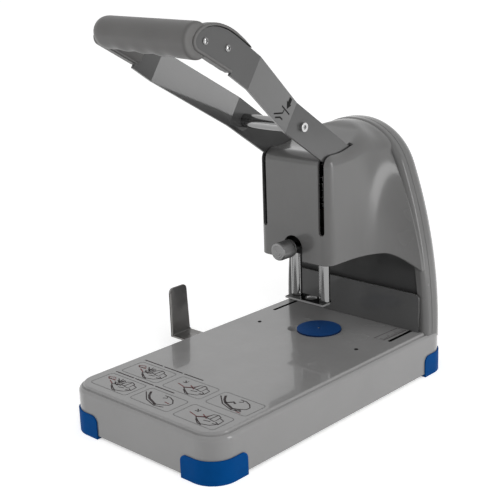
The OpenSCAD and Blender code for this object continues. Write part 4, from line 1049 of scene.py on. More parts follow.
@dataclass
class Hood:
    """The pressed hood, its arched rim and the rear cover."""

    shop: Workshop
    base: Base
    head_half_w: float = 48.0
    front_y: float = 43.5
    low_z: float = 137.5
    top_z: float = 251.0
    round_r: float = 12.0
    arch_half_w: float = 99.0
    arch_top_z: float = 272.0
    arch_side_r: float = 500.0
    foot_z: float = 48.4
    seam_y: float = 154.0
    rim_d: float = 11.0
    rim_w: float = 11.0
    rim_r: float = 6.0
    wall: float = 2.5
    cover_d: float = 24.2
    cover_r: float = 18.5
    seam_gap: float = 0.3
    crease_side_r: float = 425.0
    crease_corner_r: float = 66.0
    straight_r: float = 20000.0
    leg_low_z: float = 39.1
    side_steps: int = 22
    corner_steps: int = 22
    flare_y: float = 60.0
    flare_power: float = 3.5
    rise_y: float = 65.0
    rise_d: float = 85.0
    dip_y: float = 118.0
    dip: float = 20.0
    crown_inset: float = 1.2
    crown_from: float = 0.72
    crown_turn: float = 0.4
    hem_drop: float = 0.8
    slot_x: float = 38.0
    slot_half: float = 2.7
    slot_front_half: float = 3.2
    slot_low: float = 171.7
    slot_front: float = 56.0
    slot_rear: float = 94.0
    notch_r: float = 12.5
    notch_z: float = 151.0
    notch_low: float = 120.0
    ahead: float = 20.0
    above: float = 300.0
    screw_x: float = 47.0
    screw_z: tuple[float, float] = (78.0, 204.0)
    screw_hole_r: float = 2.2
    lip: float = 0.5
    edge_in: float = 0.4
    part_gap: float = 0.2

    @property
    def crease_y(self) -> float:
        """Where the flaring sides meet the rim."""
        return self.seam_y - self.rim_d - 1

    @property
    def cover_rear(self) -> float:
        """The rear face of the cover."""
        return self.seam_y + self.seam_gap + self.cover_d

    def half(self, half_w: float, side_r: float, corner_r: float, top_z: float, low_z: float,
             inset: float) -> Outline:
        """Right half of one cross section, from the lower edge to the middle of the top."""
        rise = top_z - self.foot_z
        crown = (side_r ** 2 - (side_r - half_w) ** 2 - rise ** 2) / (2 * (side_r - rise))
        r = min(corner_r, crown - 2)
        side_x = half_w - side_r
        corner_z = top_z - r
        up = corner_z - self.foot_z
        corner_x = side_x + math.sqrt((side_r - r) ** 2 - up ** 2)
        turn = math.atan2(up, corner_x - side_x)
        side_in = side_r - inset
        corner_in = max(r - inset, 0.25)
        start = math.asin((low_z - self.foot_z) / side_in)
        sides = [start + (turn - start) * i / self.side_steps for i in range(self.side_steps + 1)]
        corners = [turn + (math.pi / 2 - turn) * i / self.corner_steps
                   for i in range(1, self.corner_steps + 1)]
        return ([(side_x + side_in * math.cos(a), self.foot_z + side_in * math.sin(a))
                 for a in sides]
                + [(corner_x + corner_in * math.cos(a), corner_z + corner_in * math.sin(a))
                   for a in corners])

    @staticmethod
    def row(y: float, half: Outline) -> list[Point]:
        """The whole open section at one place, from foot to foot."""
        middle = [(0.0, half[-1][1])] if abs(half[-1][0]) > 0.05 else []
        return ([(x, y, z) for x, z in half] + [(x, y, z) for x, z in middle]
                + [(-x, y, z) for x, z in reversed(half)])

    @staticmethod
    def ease(t: float) -> float:
        """A smooth step from 0 to 1."""
        t = min(max(t, 0.0), 1.0)
        return t * t * (3 - 2 * t)

    def head_row(self, y: float, wall: float) -> list[Point]:
        """One row of the head's skin, a wall's thickness inside the outer face."""
        u = min(max((y - self.flare_y) / (self.crease_y - self.flare_y), 0.0), 1.0)
        bend = u ** self.flare_power
        r = self.round_r - wall
        reach = min(max(self.front_y + wall + r - y, 0.0), r)
        draw = r - math.sqrt(r * r - reach * reach) + wall
        side_r = min(self.crease_side_r / max(bend, self.crease_side_r / self.straight_r),
                     self.straight_r)
        half_w = self.head_half_w + (self.arch_half_w - self.head_half_w) * bend
        corner_r = self.round_r + (self.crease_corner_r - self.round_r) * u ** 4
        rise = self.arch_top_z - self.crown_inset - self.top_z
        top_z = self.top_z + rise * self.ease((y - self.rise_y) / self.rise_d)
        t = min(max((y - self.dip_y) / (self.crease_y - self.dip_y), 0.0), 1.0)
        low_z = self.low_z - self.dip * t * t
        half = self.half(half_w, side_r, corner_r, top_z, low_z, draw)
        crown = self.half(self.arch_half_w, self.arch_side_r, self.arch_half_w, self.arch_top_z,
                          low_z, self.crown_inset + wall)
        near = self.ease((u - self.crown_from) / (1 - self.crown_from))
        mixed = []
        for j, (a, b) in enumerate(zip(half, crown)):
            turn = (j - self.side_steps) / (self.crown_turn * self.corner_steps)
            share = near * self.ease(turn)
            mixed.append((a[0] + (b[0] - a[0]) * share, a[1] + (b[1] - a[1]) * share))
        return self.row(y, mixed)

    def head_places(self, wall: float) -> list[float]:
        """Where the head's rows stand, from the front face to inside the rim."""
        rounding, flaring = 12, 44
        r = self.round_r - wall
        front = [self.front_y + wall + r * (1 - math.cos(math.pi / 2 * i / rounding))
                 for i in range(rounding + 1)]
        start = self.front_y + self.round_r
        end = math.sin(math.pi / 2 * flaring / (flaring + 3))
        back = [start + (self.crease_y - start) * math.sin(math.pi / 2 * i / (flaring + 3)) / end
                for i in range(1, flaring + 1)]
        return front + back + [self.crease_y + self.rim_d / 2]

    def arch_half(self, inset: float) -> Outline:
        """Right half of the arch, drawn in by an inset."""
        return self.half(self.arch_half_w, self.arch_side_r, self.arch_half_w, self.arch_top_z,
                         self.leg_low_z, inset)

    def moulding(self, name: str, outer: list[list[Point]],
                 inner: list[list[Point]]) -> bpy.types.Object:
        """A closed shell from the rows of its outer and inner skin, closed at the first row."""
        count, rows = len(outer[0]), len(outer)
        first = rows * count
        faces = ring_skin(rows, count, closed=False)
        faces += ring_skin(rows, count, closed=False, first=first)
        drop = Vector((0, 0, self.hem_drop))
        hem = [[(Vector(outer[i][j]) + Vector(inner[i][j])) / 2 - drop for i in range(rows)]
               for j in (0, count - 1)]
        points = [p for row in outer + inner for p in row] + hem[0] + hem[1]
        for side, edge in enumerate((0, count - 1)):
            ridge = 2 * first + side * rows
            for i in range(rows - 1):
                a, b = i * count + edge, (i + 1) * count + edge
                faces += [[a, b, ridge + i + 1, ridge + i],
                          [ridge + i, ridge + i + 1, b + first, a + first]]
        last = (rows - 1) * count
        faces += [[last + j, last + j + 1, last + first + j + 1, last + first + j]
                  for j in range(count - 1)]
        ends = (2 * first, 2 * first + rows)
        faces.append(list(range(count)))
        faces.append([first + j for j in range(count)])
        faces.append([0, count - 1, ends[1], first + count - 1, first, ends[0]])
        for side, edge in enumerate((0, count - 1)):
            faces.append([last + edge, last + first + edge, ends[side] + rows - 1])
        return solid(name, points, faces)

    def rim_section(self) -> Outline:
        """Section of the rim as (inset, y), a channel open to the rear."""
        front = self.seam_y - self.rim_d
        curve = [(self.rim_r * (1 - math.cos(a)), front + self.rim_r * (1 - math.sin(a)))
                 for a in (math.pi / 2 * i / 12 for i in range(13))]
        back = [(self.rim_r - (self.rim_r - self.wall) * math.cos(a),
                 front + self.rim_r - (self.rim_r - self.wall) * math.sin(a))
                for a in (math.radians(d) for d in (60, 30, 0))]
        w, t, lip = self.rim_w, self.wall, self.lip
        return ([(lip, self.seam_y), (0, self.seam_y - lip)] + curve
                + [(w - 1.0, front), (w - 0.3, front + 0.3), (w, front + 1.0), (w, self.seam_y),
                   (w - t, self.seam_y), (w - t, front + t), (self.rim_r, front + t)]
                + back + [(t, self.seam_y)])

    def rim(self) -> bpy.types.Object:
        """The arched rim and the hood's two legs."""
        rows = [self.row(y, self.arch_half(inset)) for inset, y in self.rim_section()]
        count, total = len(rows[0]), len(rows)
        faces = []
        for i in range(total):
            for j in range(count - 1):
                a, b = i * count + j, (i + 1) % total * count + j
                faces.append([a, a + 1, b + 1, b])
        faces.append([i * count for i in range(total)])
        faces.append([i * count + count - 1 for i in range(total)])
        return solid("rim", [p for row in rows for p in row], faces)

    def openings(self) -> list[bpy.types.Object]:
        """The arm slots and the notch over the clamp knob."""
        cutters = []
        low, above = self.slot_low, self.above
        for side in (-1, 1):
            x, half, front = side * self.slot_x, self.slot_half, self.slot_front_half
            slot = ([(x - front, above)] + corner_arc(x, low, front, 180, 360, 16)
                    + [(x + front, above)])
            cutters.append(prism("arm_slot", slot, self.ahead, self.slot_front, Axis.Y))
            top = [(x - half, low), (x + half, low), (x + half, above), (x - half, above)]
            cutters.append(prism("arm_slot", top, self.slot_front - 0.1, self.slot_rear, Axis.Y))
        notch = [(-self.notch_r, self.notch_low)]
        notch += corner_arc(0, self.notch_z, self.notch_r, 180, 0, 40)
        notch.append((self.notch_r, self.notch_low))
        cutters.append(prism("notch", notch, self.ahead, self.slot_front - 0.5, Axis.Y))
        return cutters

    def head(self) -> bpy.types.Object:
        """The hood with its rim, slots and notch."""
        skin = self.moulding("hood_pressing",
                             [self.head_row(y, 0) for y in self.head_places(0)],
                             [self.head_row(y, self.wall) for y in self.head_places(self.wall)])
        carve(skin, [self.rim()], "UNION")
        carve(skin, self.openings() + [self.base.envelope(self.part_gap)])
        return shade(skin, 26)

    def cover_rows(self, wall: float) -> list[list[Point]]:
        """The rows of the cover's skin, a wall's thickness inside the outer face."""
        r = self.cover_r - wall
        rear = self.cover_rear - wall
        rows = []
        for i in range(15):
            y = rear - r * (1 - math.cos(math.pi / 2 * i / 14))
            reach = min(max(y - (rear - r), 0.0), r)
            inset = wall + r - math.sqrt(r * r - reach * reach)
            rows.append(self.row(y, self.arch_half(inset)))
        edge = self.seam_y + self.seam_gap
        rows.append(self.row(edge + self.lip, self.arch_half(wall)))
        rows.append(self.row(edge, self.arch_half(wall or self.edge_in)))
        return rows

    def cover(self) -> bpy.types.Object:
        """The rear cover with its screw holes."""
        cover = self.moulding("rear_pressing", self.cover_rows(0), self.cover_rows(self.wall))
        hole = [(self.screw_hole_r, 160), (self.screw_hole_r, 190)]
        holes = [turned("hole", hole, (side * self.screw_x, 0, z), Axis.Y, 32)
                 for side in (-1, 1) for z in self.screw_z]
        return shade(carve(cover, holes + [self.base.envelope(self.part_gap)]), 26)

    def build(self) -> None:
        """Makes and places the hood and its rear cover."""
        # The hood and cover share the darker enamel, which paints in the hood's shade.
        self.shop.place(self.head(), "frame", HOOD_SHADE_PAINT, "paint", "hood_shell")
        self.shop.place(self.cover(), "frame", HOOD_SHADE_PAINT, "paint", "rear_cover")


# ---------------------------------------------------------------- screws


@dataclass
class CrossScrew:
    """A pan-head screw with a cross recess, standing along +Z with its seat at 0."""

    head_r: float
    head_h: float
    shank_r: float
    shank_len: float
    recess: float = 0.62
    recess_w: float = 0.13
    recess_low: float = 0.3
    turn: float = 0.7

    def blank(self) -> bpy.types.Object:
        """One screw at the origin."""
        r, h = self.head_r, self.head_h
        dome = [(r * math.sin(a), h * (0.35 + 0.65 * math.cos(a)))
                for a in (math.radians(d) for d in (2, 15, 30, 45, 60, 75, 90))]
        profile = dome + [
            (r, 0.08 * h), (0.97 * r, 0.0), (self.shank_r, 0.0),
            (self.shank_r, 0.4 - self.shank_len), (self.shank_r - 0.4, -self.shank_len)]
        screw = turned("screw", profile, (0, 0, 0), steps=40)
        reach, arm = r * self.recess, r * self.recess_w
        low = h * self.recess_low
        bars = []
        for swap in (False, True):
            outline = [(-reach, -arm), (reach, -arm), (reach, arm), (-reach, arm)]
            if swap:
                outline = [(b, a) for a, b in outline]
            bars.append(prism("bar", outline, low, h + 1, Axis.Z))
        return carve(screw, bars)

    def set(self, name: str, places: Sequence[Matrix]) -> bpy.types.Object:
        """Copies of the screw at places given in millimetres, as one piece."""
        blank = self.blank()
        copies = []
        for i, place in enumerate(places):
            matrix = place.copy()
            matrix.translation *= MM
            turn = Matrix.Rotation(self.turn * i, 4, "Z")
            copies.append(moved(link(blank.data.copy(), "screw_copy"), matrix @ turn))
        discard(blank)
        return joined(name, copies)


def facing(at: Point, way: Point) -> Matrix:
    """A place whose +Z looks along a direction."""
    turn = Vector(way).to_track_quat("Z", "Y").to_matrix().to_4x4()
    return Matrix.Translation(Vector(at)) @ turn


# ---------------------------------------------------------------- the lever


@dataclass
class Lever:
    """The two arms, the cross tube and the moulded grip."""

    shop: Workshop
    pivot_y: float = 128.0
    pivot_z: float = 208.5
    rest: float = 34.0
    grip_u: float = 319.0
    grip_v: float = -8.0
    grip_r: float = 15.2
    grip_half: float = 65.4
    bar_half: float = 61.0
    bar_shift: float = 1.2
    reach: float = 1.8
    end_corner: float = 1.5
    taper: float = 0.8
    lift: float = 1.3
    lean: float = 0.035
    end_len: float = 13.0
    end_fall: float = 10.5
    borders: tuple[float, float] = (1.8, 3.0)
    step_u: float = 271.0
    arm_half_w: float = 15.5
    arm_rise: float = 1.5
    arm_face_x: float = 39.0
    arm_out_in: float = 61.0
    arm_out_face: float = 64.0
    bend_u: float = 153.8
    bend_2_u: float = 245.2
    cheek_w: float = 9.0
    nose_back: float = 11.0
    nose_over: float = 2.6
    nose_low_r: float = 6.0
    nose_foot: float = -10.5
    wave_len: float = 23.0
    wave: float = 0.7
    wave_sink: float = 0.3
    wave_half: float = 50.0
    voxel: float = 1.05
    smooth_share: float = 0.6
    smooth_steps: int = 14
    rim_w: float = 4.5
    rim_edge: float = 1.3
    tail: float = 16.0
    pocket: float = 30.0
    pocket_gap: float = 0.5
    screw_hole_r: float = 1.75
    sign_ink: float = 0.06
    screws: tuple[tuple[float, float], ...] = ((311.0, -4.8), (285.0, 3.0))

    # The press-here sign's shapes: along the arm from its first bend, and down from its edge.
    SIGN: ClassVar[list[Outline]] = [
        [(11.4, 2.2), (17.4, 2.2), (17.4, 7.4), (20.2, 7.4), (14.6, 13.6), (9.0, 7.4),
         (11.4, 7.4)],
        [(6.0, 14.7), (25.6, 14.7), (25.6, 16.1), (6.0, 16.1)],
        [(19.6, 16.2), (20.4, 19.6), (35.2, 26.9), (35.2, 28.5), (19.0, 20.6), (18.2, 16.4)],
        [(15.2, 24.2), (21.8, 24.4), (30.8, 28.7), (30.2, 30.1), (21.2, 25.9), (15.2, 25.7)],
    ]

    @property
    def stand(self) -> Matrix:
        """From the lever's own frame, with -Y along the arms, to the machine's, in metres."""
        return (Matrix.Translation(Vector((0, self.pivot_y, self.pivot_z)) * MM)
                @ Matrix.Rotation(math.radians(-self.rest), 4, "X"))

    def place_of(self, x: float, u: float, v: float, way: Point) -> Matrix:
        """A screw's place on the lever, in millimetres."""
        turn = Matrix.Rotation(math.radians(-self.rest), 4, "X")
        at = Vector((0, self.pivot_y, self.pivot_z)) + turn @ Vector((x, -u, v))
        return facing(at, turn @ Vector(way))

    def nose(self, grow: float) -> Outline:
        """Outline of an arm's rounded end, from its upper edge round to its lower edge."""
        back = self.step_u + self.nose_back
        reach = self.grip_u + self.nose_over - back
        rise = self.arm_half_w + self.arm_rise - self.grip_v
        low = self.nose_low_r
        upper = [(back + (reach + grow) * math.cos(a), self.grip_v + (rise + grow) * math.sin(a))
                 for a in angles(90, -1, -6)]
        lower = [(back + reach - low + (low + grow) * math.cos(a),
                  self.grip_v + (low + grow) * math.sin(a)) for a in angles(-6, -91, -6)]
        return upper + lower + [(self.step_u, self.nose_foot - grow)]

    def bar(self) -> bpy.types.Object:
        """The grip's bar, round, with long soft ends, a slight lean and finger waves beneath."""
        r, half, end, fall = self.grip_r, self.bar_half, self.end_len, self.end_fall
        right, corner = half + self.reach, self.end_corner
        turns = angles(0, 91, 6)
        profile = [(0.02, -half)]
        profile += [(r - fall + fall * math.sin(a), -half + end - end * math.cos(a))
                    for a in turns]
        profile += [(r, -half + end + (half + right - end - corner) * i / 24)
                    for i in range(1, 24)]
        profile += [(r - corner + corner * math.cos(a), right - corner + corner * math.sin(a))
                    for a in turns]
        profile += [(0.02, right)]
        bar = turned("grip_body", profile, (self.bar_shift, 0, 0), Axis.X, 96)
        rest = math.radians(self.rest)
        below = Vector((0, math.sin(rest), -math.cos(rest)))
        for vert in bar.data.vertices:
            x = vert.co.x / MM
            out = Vector((0, vert.co.y, vert.co.z)).normalized()
            low = max(out.dot(below), 0.0) ** 2 * max(1 - (x / self.wave_half) ** 4, 0.0)
            wave = self.wave * math.cos(math.tau * x / self.wave_len) - self.wave_sink
            vert.co += out * wave * low * MM
            vert.co += Vector((0, vert.co.y, vert.co.z)) * (self.taper * x / (half * r))
            vert.co += below * (self.lean * x - self.lift) * MM
        return moved(bar, Matrix.Translation(Vector((0, -self.grip_u, self.grip_v)) * MM))

    @staticmethod
    def cheek(name: str, side: int, outline: Outline, inner: float,
              outer: float) -> bpy.types.Object:
        """A plate across the lever on one side, its outline in lever axes (u, v)."""
        low, high = sorted((side * inner, side * outer))
        return prism(name, [(-u, v) for u, v in outline], low, high, Axis.X)

    def grip(self) -> bpy.types.Object:
        """The moulded grip: a bar that flows into its cheeks, with a rim round each arm's end."""
        bar = self.bar()
        inner = self.arm_out_in - self.cheek_w
        sides = list(zip((-1, 1), self.borders))
        step = (self.step_u, 8.0)
        carve(bar, [self.cheek("cheek", side, self.nose(border - 1) + [step], inner,
                               self.grip_half - 1.5) for side, border in sides], "UNION")
        bar.modifiers.clear()
        again = bar.modifiers.new("even_faces", "REMESH")
        again.mode = "VOXEL"
        again.voxel_size = self.voxel * MM
        again.use_smooth_shade = True
        flow = bar.modifiers.new("flow", "SMOOTH")
        flow.factor = self.smooth_share
        flow.iterations = self.smooth_steps
        work_in(bar)
        rims = []
        for side, border in sides:
            tail = [step, (self.step_u - self.tail, 12.0), (self.step_u - self.tail, 16.4),
                    (self.step_u - self.tail / 2, 17 + 0.45 * border),
                    (self.step_u, 17 + 0.8 * border)]
            rim = self.cheek("rim", side, self.nose(border) + tail, self.arm_out_in - self.rim_w,
                             self.grip_half)
            rims.append(soften(rim, self.rim_edge, 3, 60))
        carve(bar, rims, "UNION")
        cutters = []
        back = self.step_u - self.pocket
        for side in (-1, 1):
            pocket = [(back, 17.5)] + self.nose(self.pocket_gap) + [(back, -11.0)]
            cutters.append(self.cheek("pocket", side, pocket, self.arm_out_in - 0.06,
                                      self.grip_half + 3))
            low, high = sorted((side * (inner - 1), side * (self.arm_out_in + 1)))
            hole = [(self.screw_hole_r, low), (self.screw_hole_r, high)]
            cutters += [turned("hole", hole, (0, -u, v), Axis.X, 24) for u, v in self.screws]
        carve(bar, cutters)
        return shade(moved(bar, self.stand), 40)

    def label(self) -> bpy.types.Object:
        """The printed press-here sign on the splayed part of the right arm."""
        along = Vector((self.bend_2_u - self.bend_u, self.arm_out_face - self.arm_face_x))
        length = along.length
        run, out = along.x / length, along.y / length

        def spot(a: float, b: float, proud: float) -> Point:
            """Puts a on the face from the first bend, b under the upper edge, in lever axes."""
            u = self.bend_u + a * run - proud * out
            x = self.arm_face_x + a * out + proud * run
            return (x, -u, self.arm_half_w + self.arm_rise * 0.6 - b)

        signs = [loft("sign", [[spot(a, b, proud) for a, b in shape]
                               for proud in (-0.02, self.sign_ink)]) for shape in self.SIGN]
        return moved(joined("arm_sign", signs), self.stand)

    def build(self) -> None:
        """Makes and places the lever's pieces."""
        place = self.shop.place
        for name in ("left_arm", "right_arm"):
            strap = place(rounded_copy(name, name + "_strap", 0.35), "lever", ARM_PAINT,
                          "dark_paint", name)
            shade(strap, 12)
        place(self.grip(), "lever", GRIP, "grip_plastic", "handle_grip")
        place(self.label(), "lever", ARM_INK, None)
        place(rounded_copy("cross_tube", "spacer_tube", 0.4), "lever", CHROME, "chrome",
              "cross_tube")
        place(rounded_copy("tube_bolts", "socket_bolts", 0.35), "lever", PLATED, "chrome",
              "tube_bolts")
        screw = CrossScrew(3.2, 1.6, 1.7, 9.0)
        places = [self.place_of(side * self.arm_out_face, u, v, (side, 0, 0))
                  for side in (-1, 1) for u, v in self.screws]
        place(screw.set("grip_cross_screws", places), "lever", CHROME, "chrome", "grip_screws")


# ---------------------------------------------------------------- smaller pieces


@dataclass
class SideGuide:
    """The side guide: a strip that turns up into a flag with a folded front edge."""

    out_x: float = -128.0
    in_x: float = -20.0
    front: float = -18.0
    rear: float = 11.0
    low: float = 40.0
    high: float = 96.0
    sheet: float = 2.0
    narrow: float = 3.6
    flag_back: float = 1.4
    corner_r: float = 5.5
    fold_w: float = 2.9
    fold_r: float = 0.8
    bend_r: float = 1.6
    bend_at: float = 3.4
    stud_at: tuple[float, float] = (-113.0, -3.0)

    def flag(self) -> bpy.types.Object:
        """The upright flag, its rear edge a little slanted."""
        foot, r = self.rear - self.flag_back, self.corner_r
        outline = [(self.front, self.low), (foot, self.low), (foot, self.low + 3)]
        outline += corner_arc(self.rear - self.narrow - r, self.high - r, r, 2, 90, 8)
        outline += corner_arc(self.front + r, self.high - r, r, 90, 180, 8)
        return soften(prism("flag", outline, self.out_x, self.out_x + self.sheet, Axis.X), 0.5)

    def strip(self) -> bpy.types.Object:
        """The strip that slides in the base."""
        outline = [(self.out_x, self.front), (self.in_x, self.front), (self.in_x, self.rear),
                   (self.out_x, self.rear)]
        return soften(prism("strip", outline, self.low, self.low + self.sheet, Axis.Z), 0.4)

    def fold(self) -> bpy.types.Object:
        """The folded front edge of the flag."""
        x, end, r = self.out_x + 0.3, self.out_x + self.fold_w, self.fold_r
        outline = [(x, self.front), (end, self.front)]
        outline += corner_arc(end, self.front + r, r, -90, 90, 8)
        outline.append((x, self.front + 2 * r))
        return prism("fold", outline, self.low + 1.2, self.high - self.corner_r, Axis.Z)

    def bend(self) -> bpy.types.Object:
        """The round inside of the bend between strip and flag."""
        x, z, at, r = self.out_x, self.low, self.bend_at, self.bend_r
        outline = [(x + 1.5, z + 1.5), (x + at - 0.2, z + 1.5)]
        outline += corner_arc(x + at, z + at, r, 270, 180, 6)
        outline.append((x + 1.5, z + at))
        return prism("bend", outline, self.front + 0.5, self.rear - 0.5, Axis.Y)

    def stud(self) -> bpy.types.Object:
        """The low stud on the strip."""
        head = [(0.02, 0.2), (2.6, 0.2), (3.0, 0.0), (3.0, -0.6), (0.02, -0.6)]
        return turned("stud", head, (*self.stud_at, self.low + self.sheet), steps=36)

    def piece(self) -> bpy.types.Object:
        """The whole guide as one piece."""
        return joined("bent_guide", [self.flag(), self.strip(), self.fold(), self.bend(),
                                     self.stud()])


@dataclass(frozen=True)
class Coil:
    """A spring wound from round wire."""

    radius: float
    wire_r: float
    turns: int
    sides: int = 28
    pivot: tuple[float, float] = (128.0, 208.5)
    first_x: float = 14.0
    pitch: float = 2.6
    draw: float = 2.2
    leg: tuple[float, float, float] = (153.0, 140.0, 218.0)

    def upright(self, at: tuple[float, float], low: float, high: float,
                side: int) -> bpy.types.Object:
        """A compression spring round an upright rod, wound left or right."""
        steps = self.sides * self.turns
        path = []
        for i in range(steps + 1):
            turn = math.tau * i / self.sides
            path.append((at[0] + side * self.radius * math.cos(turn),
                         at[1] + self.radius * math.sin(turn), low + (high - low) * i / steps))
        return wire("coil", path, self.wire_r)

    def torsion(self, side: int) -> bpy.types.Object:
        """A spring round the lever's shaft, from a leg on the frame inward."""
        rear, front, z = self.leg
        y, axle = self.pivot
        path = [(side * self.first_x, rear, z), (side * self.first_x, front, z)]
        steps = self.sides * self.turns
        for i in range(steps + 1):
            a = math.tau * i / self.sides
            drawn = max(1 - 2 * (steps - i) / self.sides, 0.0)
            r = self.radius - self.draw * drawn
            path.append((side * (self.first_x + self.pitch * i / self.sides),
                         y - r * math.sin(a), axle + r * math.cos(a)))
        return wire("wound", path, self.wire_r)


@dataclass
class Works:
    """The smaller pieces that are made again: knob, presser, disc, gauge, guide and springs."""

    shop: Workshop
    drill_y: float = 71.0
    knob_z: float = 151.0
    knob_r: float = 9.5
    knob_front: float = 19.5
    knob_len: float = 20.5
    column_x: float = 19.3
    column_slim: float = 0.89
    plate_z: tuple[float, float] = (86.2, 88.2)
    plate_half: float = 26.0
    plate_front: float = 59.0
    drill_hole_r: float = 6.5
    knob_steps: int = 240
    knurl_rows: int = 52
    knurl_count: int = 34
    knurl_slope: float = 2.2
    knurl_deep: float = 0.2
    shank_r: float = 4.0
    shank_end: float = 47.2
    column_spring_z: tuple[float, float] = (190.85, 239.15)

    def knob(self) -> bpy.types.Object:
        """The clamp knob: chamfered, with a diamond knurl and turned rings on its face."""
        steps = self.knob_steps
        r, length, deep = self.knob_r, self.knob_len, self.knurl_deep
        start, end = 2.0, length - 2.0
        face = [(0.02, 0.35), (1.2, 0.35), (1.5, 0.0), (3.4, 0.0), (3.6, 0.18), (3.8, 0.0),
                (5.9, 0.0), (6.1, 0.18), (6.3, 0.0), (r - 1.5, 0.0), (r - 1.0, 0.1),
                (r - 0.55, 0.6), (r - 0.4, 1.1), (r - 0.55, start - 0.2)]
        tail = [(r - 0.55, end + 0.2), (r - 0.4, length - 1.0), (r - 1.2, length),
                (self.shank_r, length), (self.shank_r, self.shank_end), (0.02, self.shank_end)]
        knurl = []
        for i in range(self.knurl_rows + 1):
            y = start + (end - start) * i / self.knurl_rows
            turns = [(self.knurl_count * math.tau * j / steps, self.knurl_slope * y)
                     for j in range(steps)]
            knurl.append([(r - deep + deep * min(math.cos(a + b), math.cos(a - b)), y)
                          for a, b in turns])
        rings = [[p] * steps for p in face] + knurl + [[p] * steps for p in tail]
        rows = [[(radius * math.cos(math.tau * j / steps), self.knob_front + along,
                  self.knob_z + radius * math.sin(math.tau * j / steps))
                 for j, (radius, along) in enumerate(ring)] for ring in rings]
        return loft("clamp_knob_turned", rows)

    def foot(self) -> bpy.types.Object:
        """The presser's plate, rounded behind its columns, with a hole for the drill."""
        low, high = self.plate_z
        half, front, hole = self.plate_half, self.plate_front, self.drill_hole_r
        outline = [(-half, front), (half, front)]
        for side, start in ((1, 0), (-1, 90)):
            outline += corner_arc(side * self.column_x, self.drill_y, half - self.column_x, start,
                                  start + 90, 12)
        plate = prism("presser_foot", outline, low, high, Axis.Z)
        carve(plate, [turned("hole", [(hole, low - 1), (hole, high + 1)], (0, self.drill_y, 0))])
        return soften(plate, 0.3)

    def columns(self) -> bpy.types.Object:
        """The two guide columns, drawn in to the slimmer rods of the machine."""
        piece = rounded_copy("presser_columns", "guide_columns", 0.5)
        for vert in piece.data.vertices:
            x = math.copysign(self.column_x, vert.co.x) * MM
            vert.co.x = x + (vert.co.x - x) * self.column_slim
            vert.co.y = self.drill_y * MM + (vert.co.y - self.drill_y * MM) * self.column_slim
        return piece

    def springs(self) -> None:
        """The springs as smooth round wire in place of the plain ones."""
        columns, shaft = Coil(8.5, 0.8, 7), Coil(9.5, 1.0, 6)
        sides = (-1, 1)
        low, high = self.column_spring_z
        coils = [columns.upright((side * self.column_x, self.drill_y), low, high, side)
                 for side in sides]
        piece = joined("column_coils", coils)
        self.shop.place(piece, "presser", BRIGHT, "bright_steel", "column_springs")
        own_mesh(piece)
        wound = [shaft.torsion(side) for side in sides]
        self.shop.place(joined("torsion_coils", wound), "frame", BRIGHT, "bright_steel",
                        "return_springs")

    def build(self) -> None:
        """Makes and places these pieces."""
        place = self.shop.place
        place(self.knob(), "knob", TURNED, "bright_steel", "clamp_knob")
        foot = place(self.foot(), "presser", BLACKED, "black_steel", "presser_plate")
        # The plate's rim in pale steel: a painted highlight along its edges.
        self.shop.edge(foot, PALE_STEEL, Axis.Z, 0.9)
        place(self.columns(), "presser", CHROME, "chrome", "presser_columns")
        disc = place(rounded_copy("cutting_disc", "turning_disc", 0.4), "disc", DISC,
                     "disc_plastic", "cutting_disc")
        # The disc's side faces get the darker blue, a painted shade along its rim.
        self.shop.edge(disc, DISC_SIDE_SHADE, Axis.Z, 0.8)
        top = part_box("cutting_disc")[1][2] / MM
        profile = [(0.02, 0.3), (0.9, 0.25), (1.3, 0.0), (1.3, -0.3), (0.02, -0.3)]
        pip = turned("disc_pip", profile, (0, Base.disc_y, top), steps=32)
        place(pip, "disc", PALE_STEEL, "disc_plastic")
        gauge = place(rounded_copy("back_gauge", "folded_gauge", 0.45), "gauge", GAUGE_PAINT,
                      "dark_paint", "back_gauge")
        # The gauge's rim in pale steel: a painted highlight along its edges.
        self.shop.edge(gauge, PALE_STEEL, Axis.Y, 0.95)
        place(SideGuide().piece(), "guide", SHEET, "bright_steel", "side_guide")
        # The closing panel's dark grey is painted shade under the hood.
        place(rounded_copy("inner_panel", "hood_closing_panel", 0.4), "frame", PANEL_SHADE_PAINT,
              "dark_paint", "inner_panel")
        screw = CrossScrew(4.4, 2.4, 2.0, 8.0)
        places = [facing((side * Hood.screw_x, Hood.seam_y + Hood.seam_gap + Hood.cover_d, z),
                         (0, 1, 0)) for side in (-1, 1) for z in Hood.screw_z]
        place(screw.set("cover_cross_screws", places), "frame", BRIGHT, "bright_steel",
              "cover_screws")
        self.springs()


@dataclass
class CarriedParts:
    """The CAD nodes whose shape is right as it is, with their finishes."""

    shop: Workshop

    FINISHES: ClassVar[dict[str, Finish]] = {
        "bottom_plate": PANEL_SHADE_PAINT, "bottom_screws": BRIGHT, "disc_seat": DARK,
        "disc_hub": BRIGHT, "guide_track": DARK, "left_cheek": DARK, "right_cheek": DARK,
        "guide_plate": DARK, "column_bushes": BRONZE, "tie_bars": BRIGHT, "frame_screws": BRIGHT,
        "lever_shaft": CHROME, "shaft_clips": BLACKED, "drive_studs": BRIGHT, "ram_block": DARK,
        "ram_yokes": DARK, "yoke_screws": BRIGHT, "drill_holder": BRIGHT, "hollow_drill": BRIGHT,
        "column_collars": DARK, "gauge_runners": BRIGHT,
    }

    def dress(self, nodes: dict[str, bpy.types.Object]) -> None:
        """Paints each carried node."""
        for node, finish in self.FINISHES.items():
            self.shop.paint(nodes[node], finish)
            log.info("%s keeps its CAD shape", node)


# ---------------------------------------------------------------- the studio


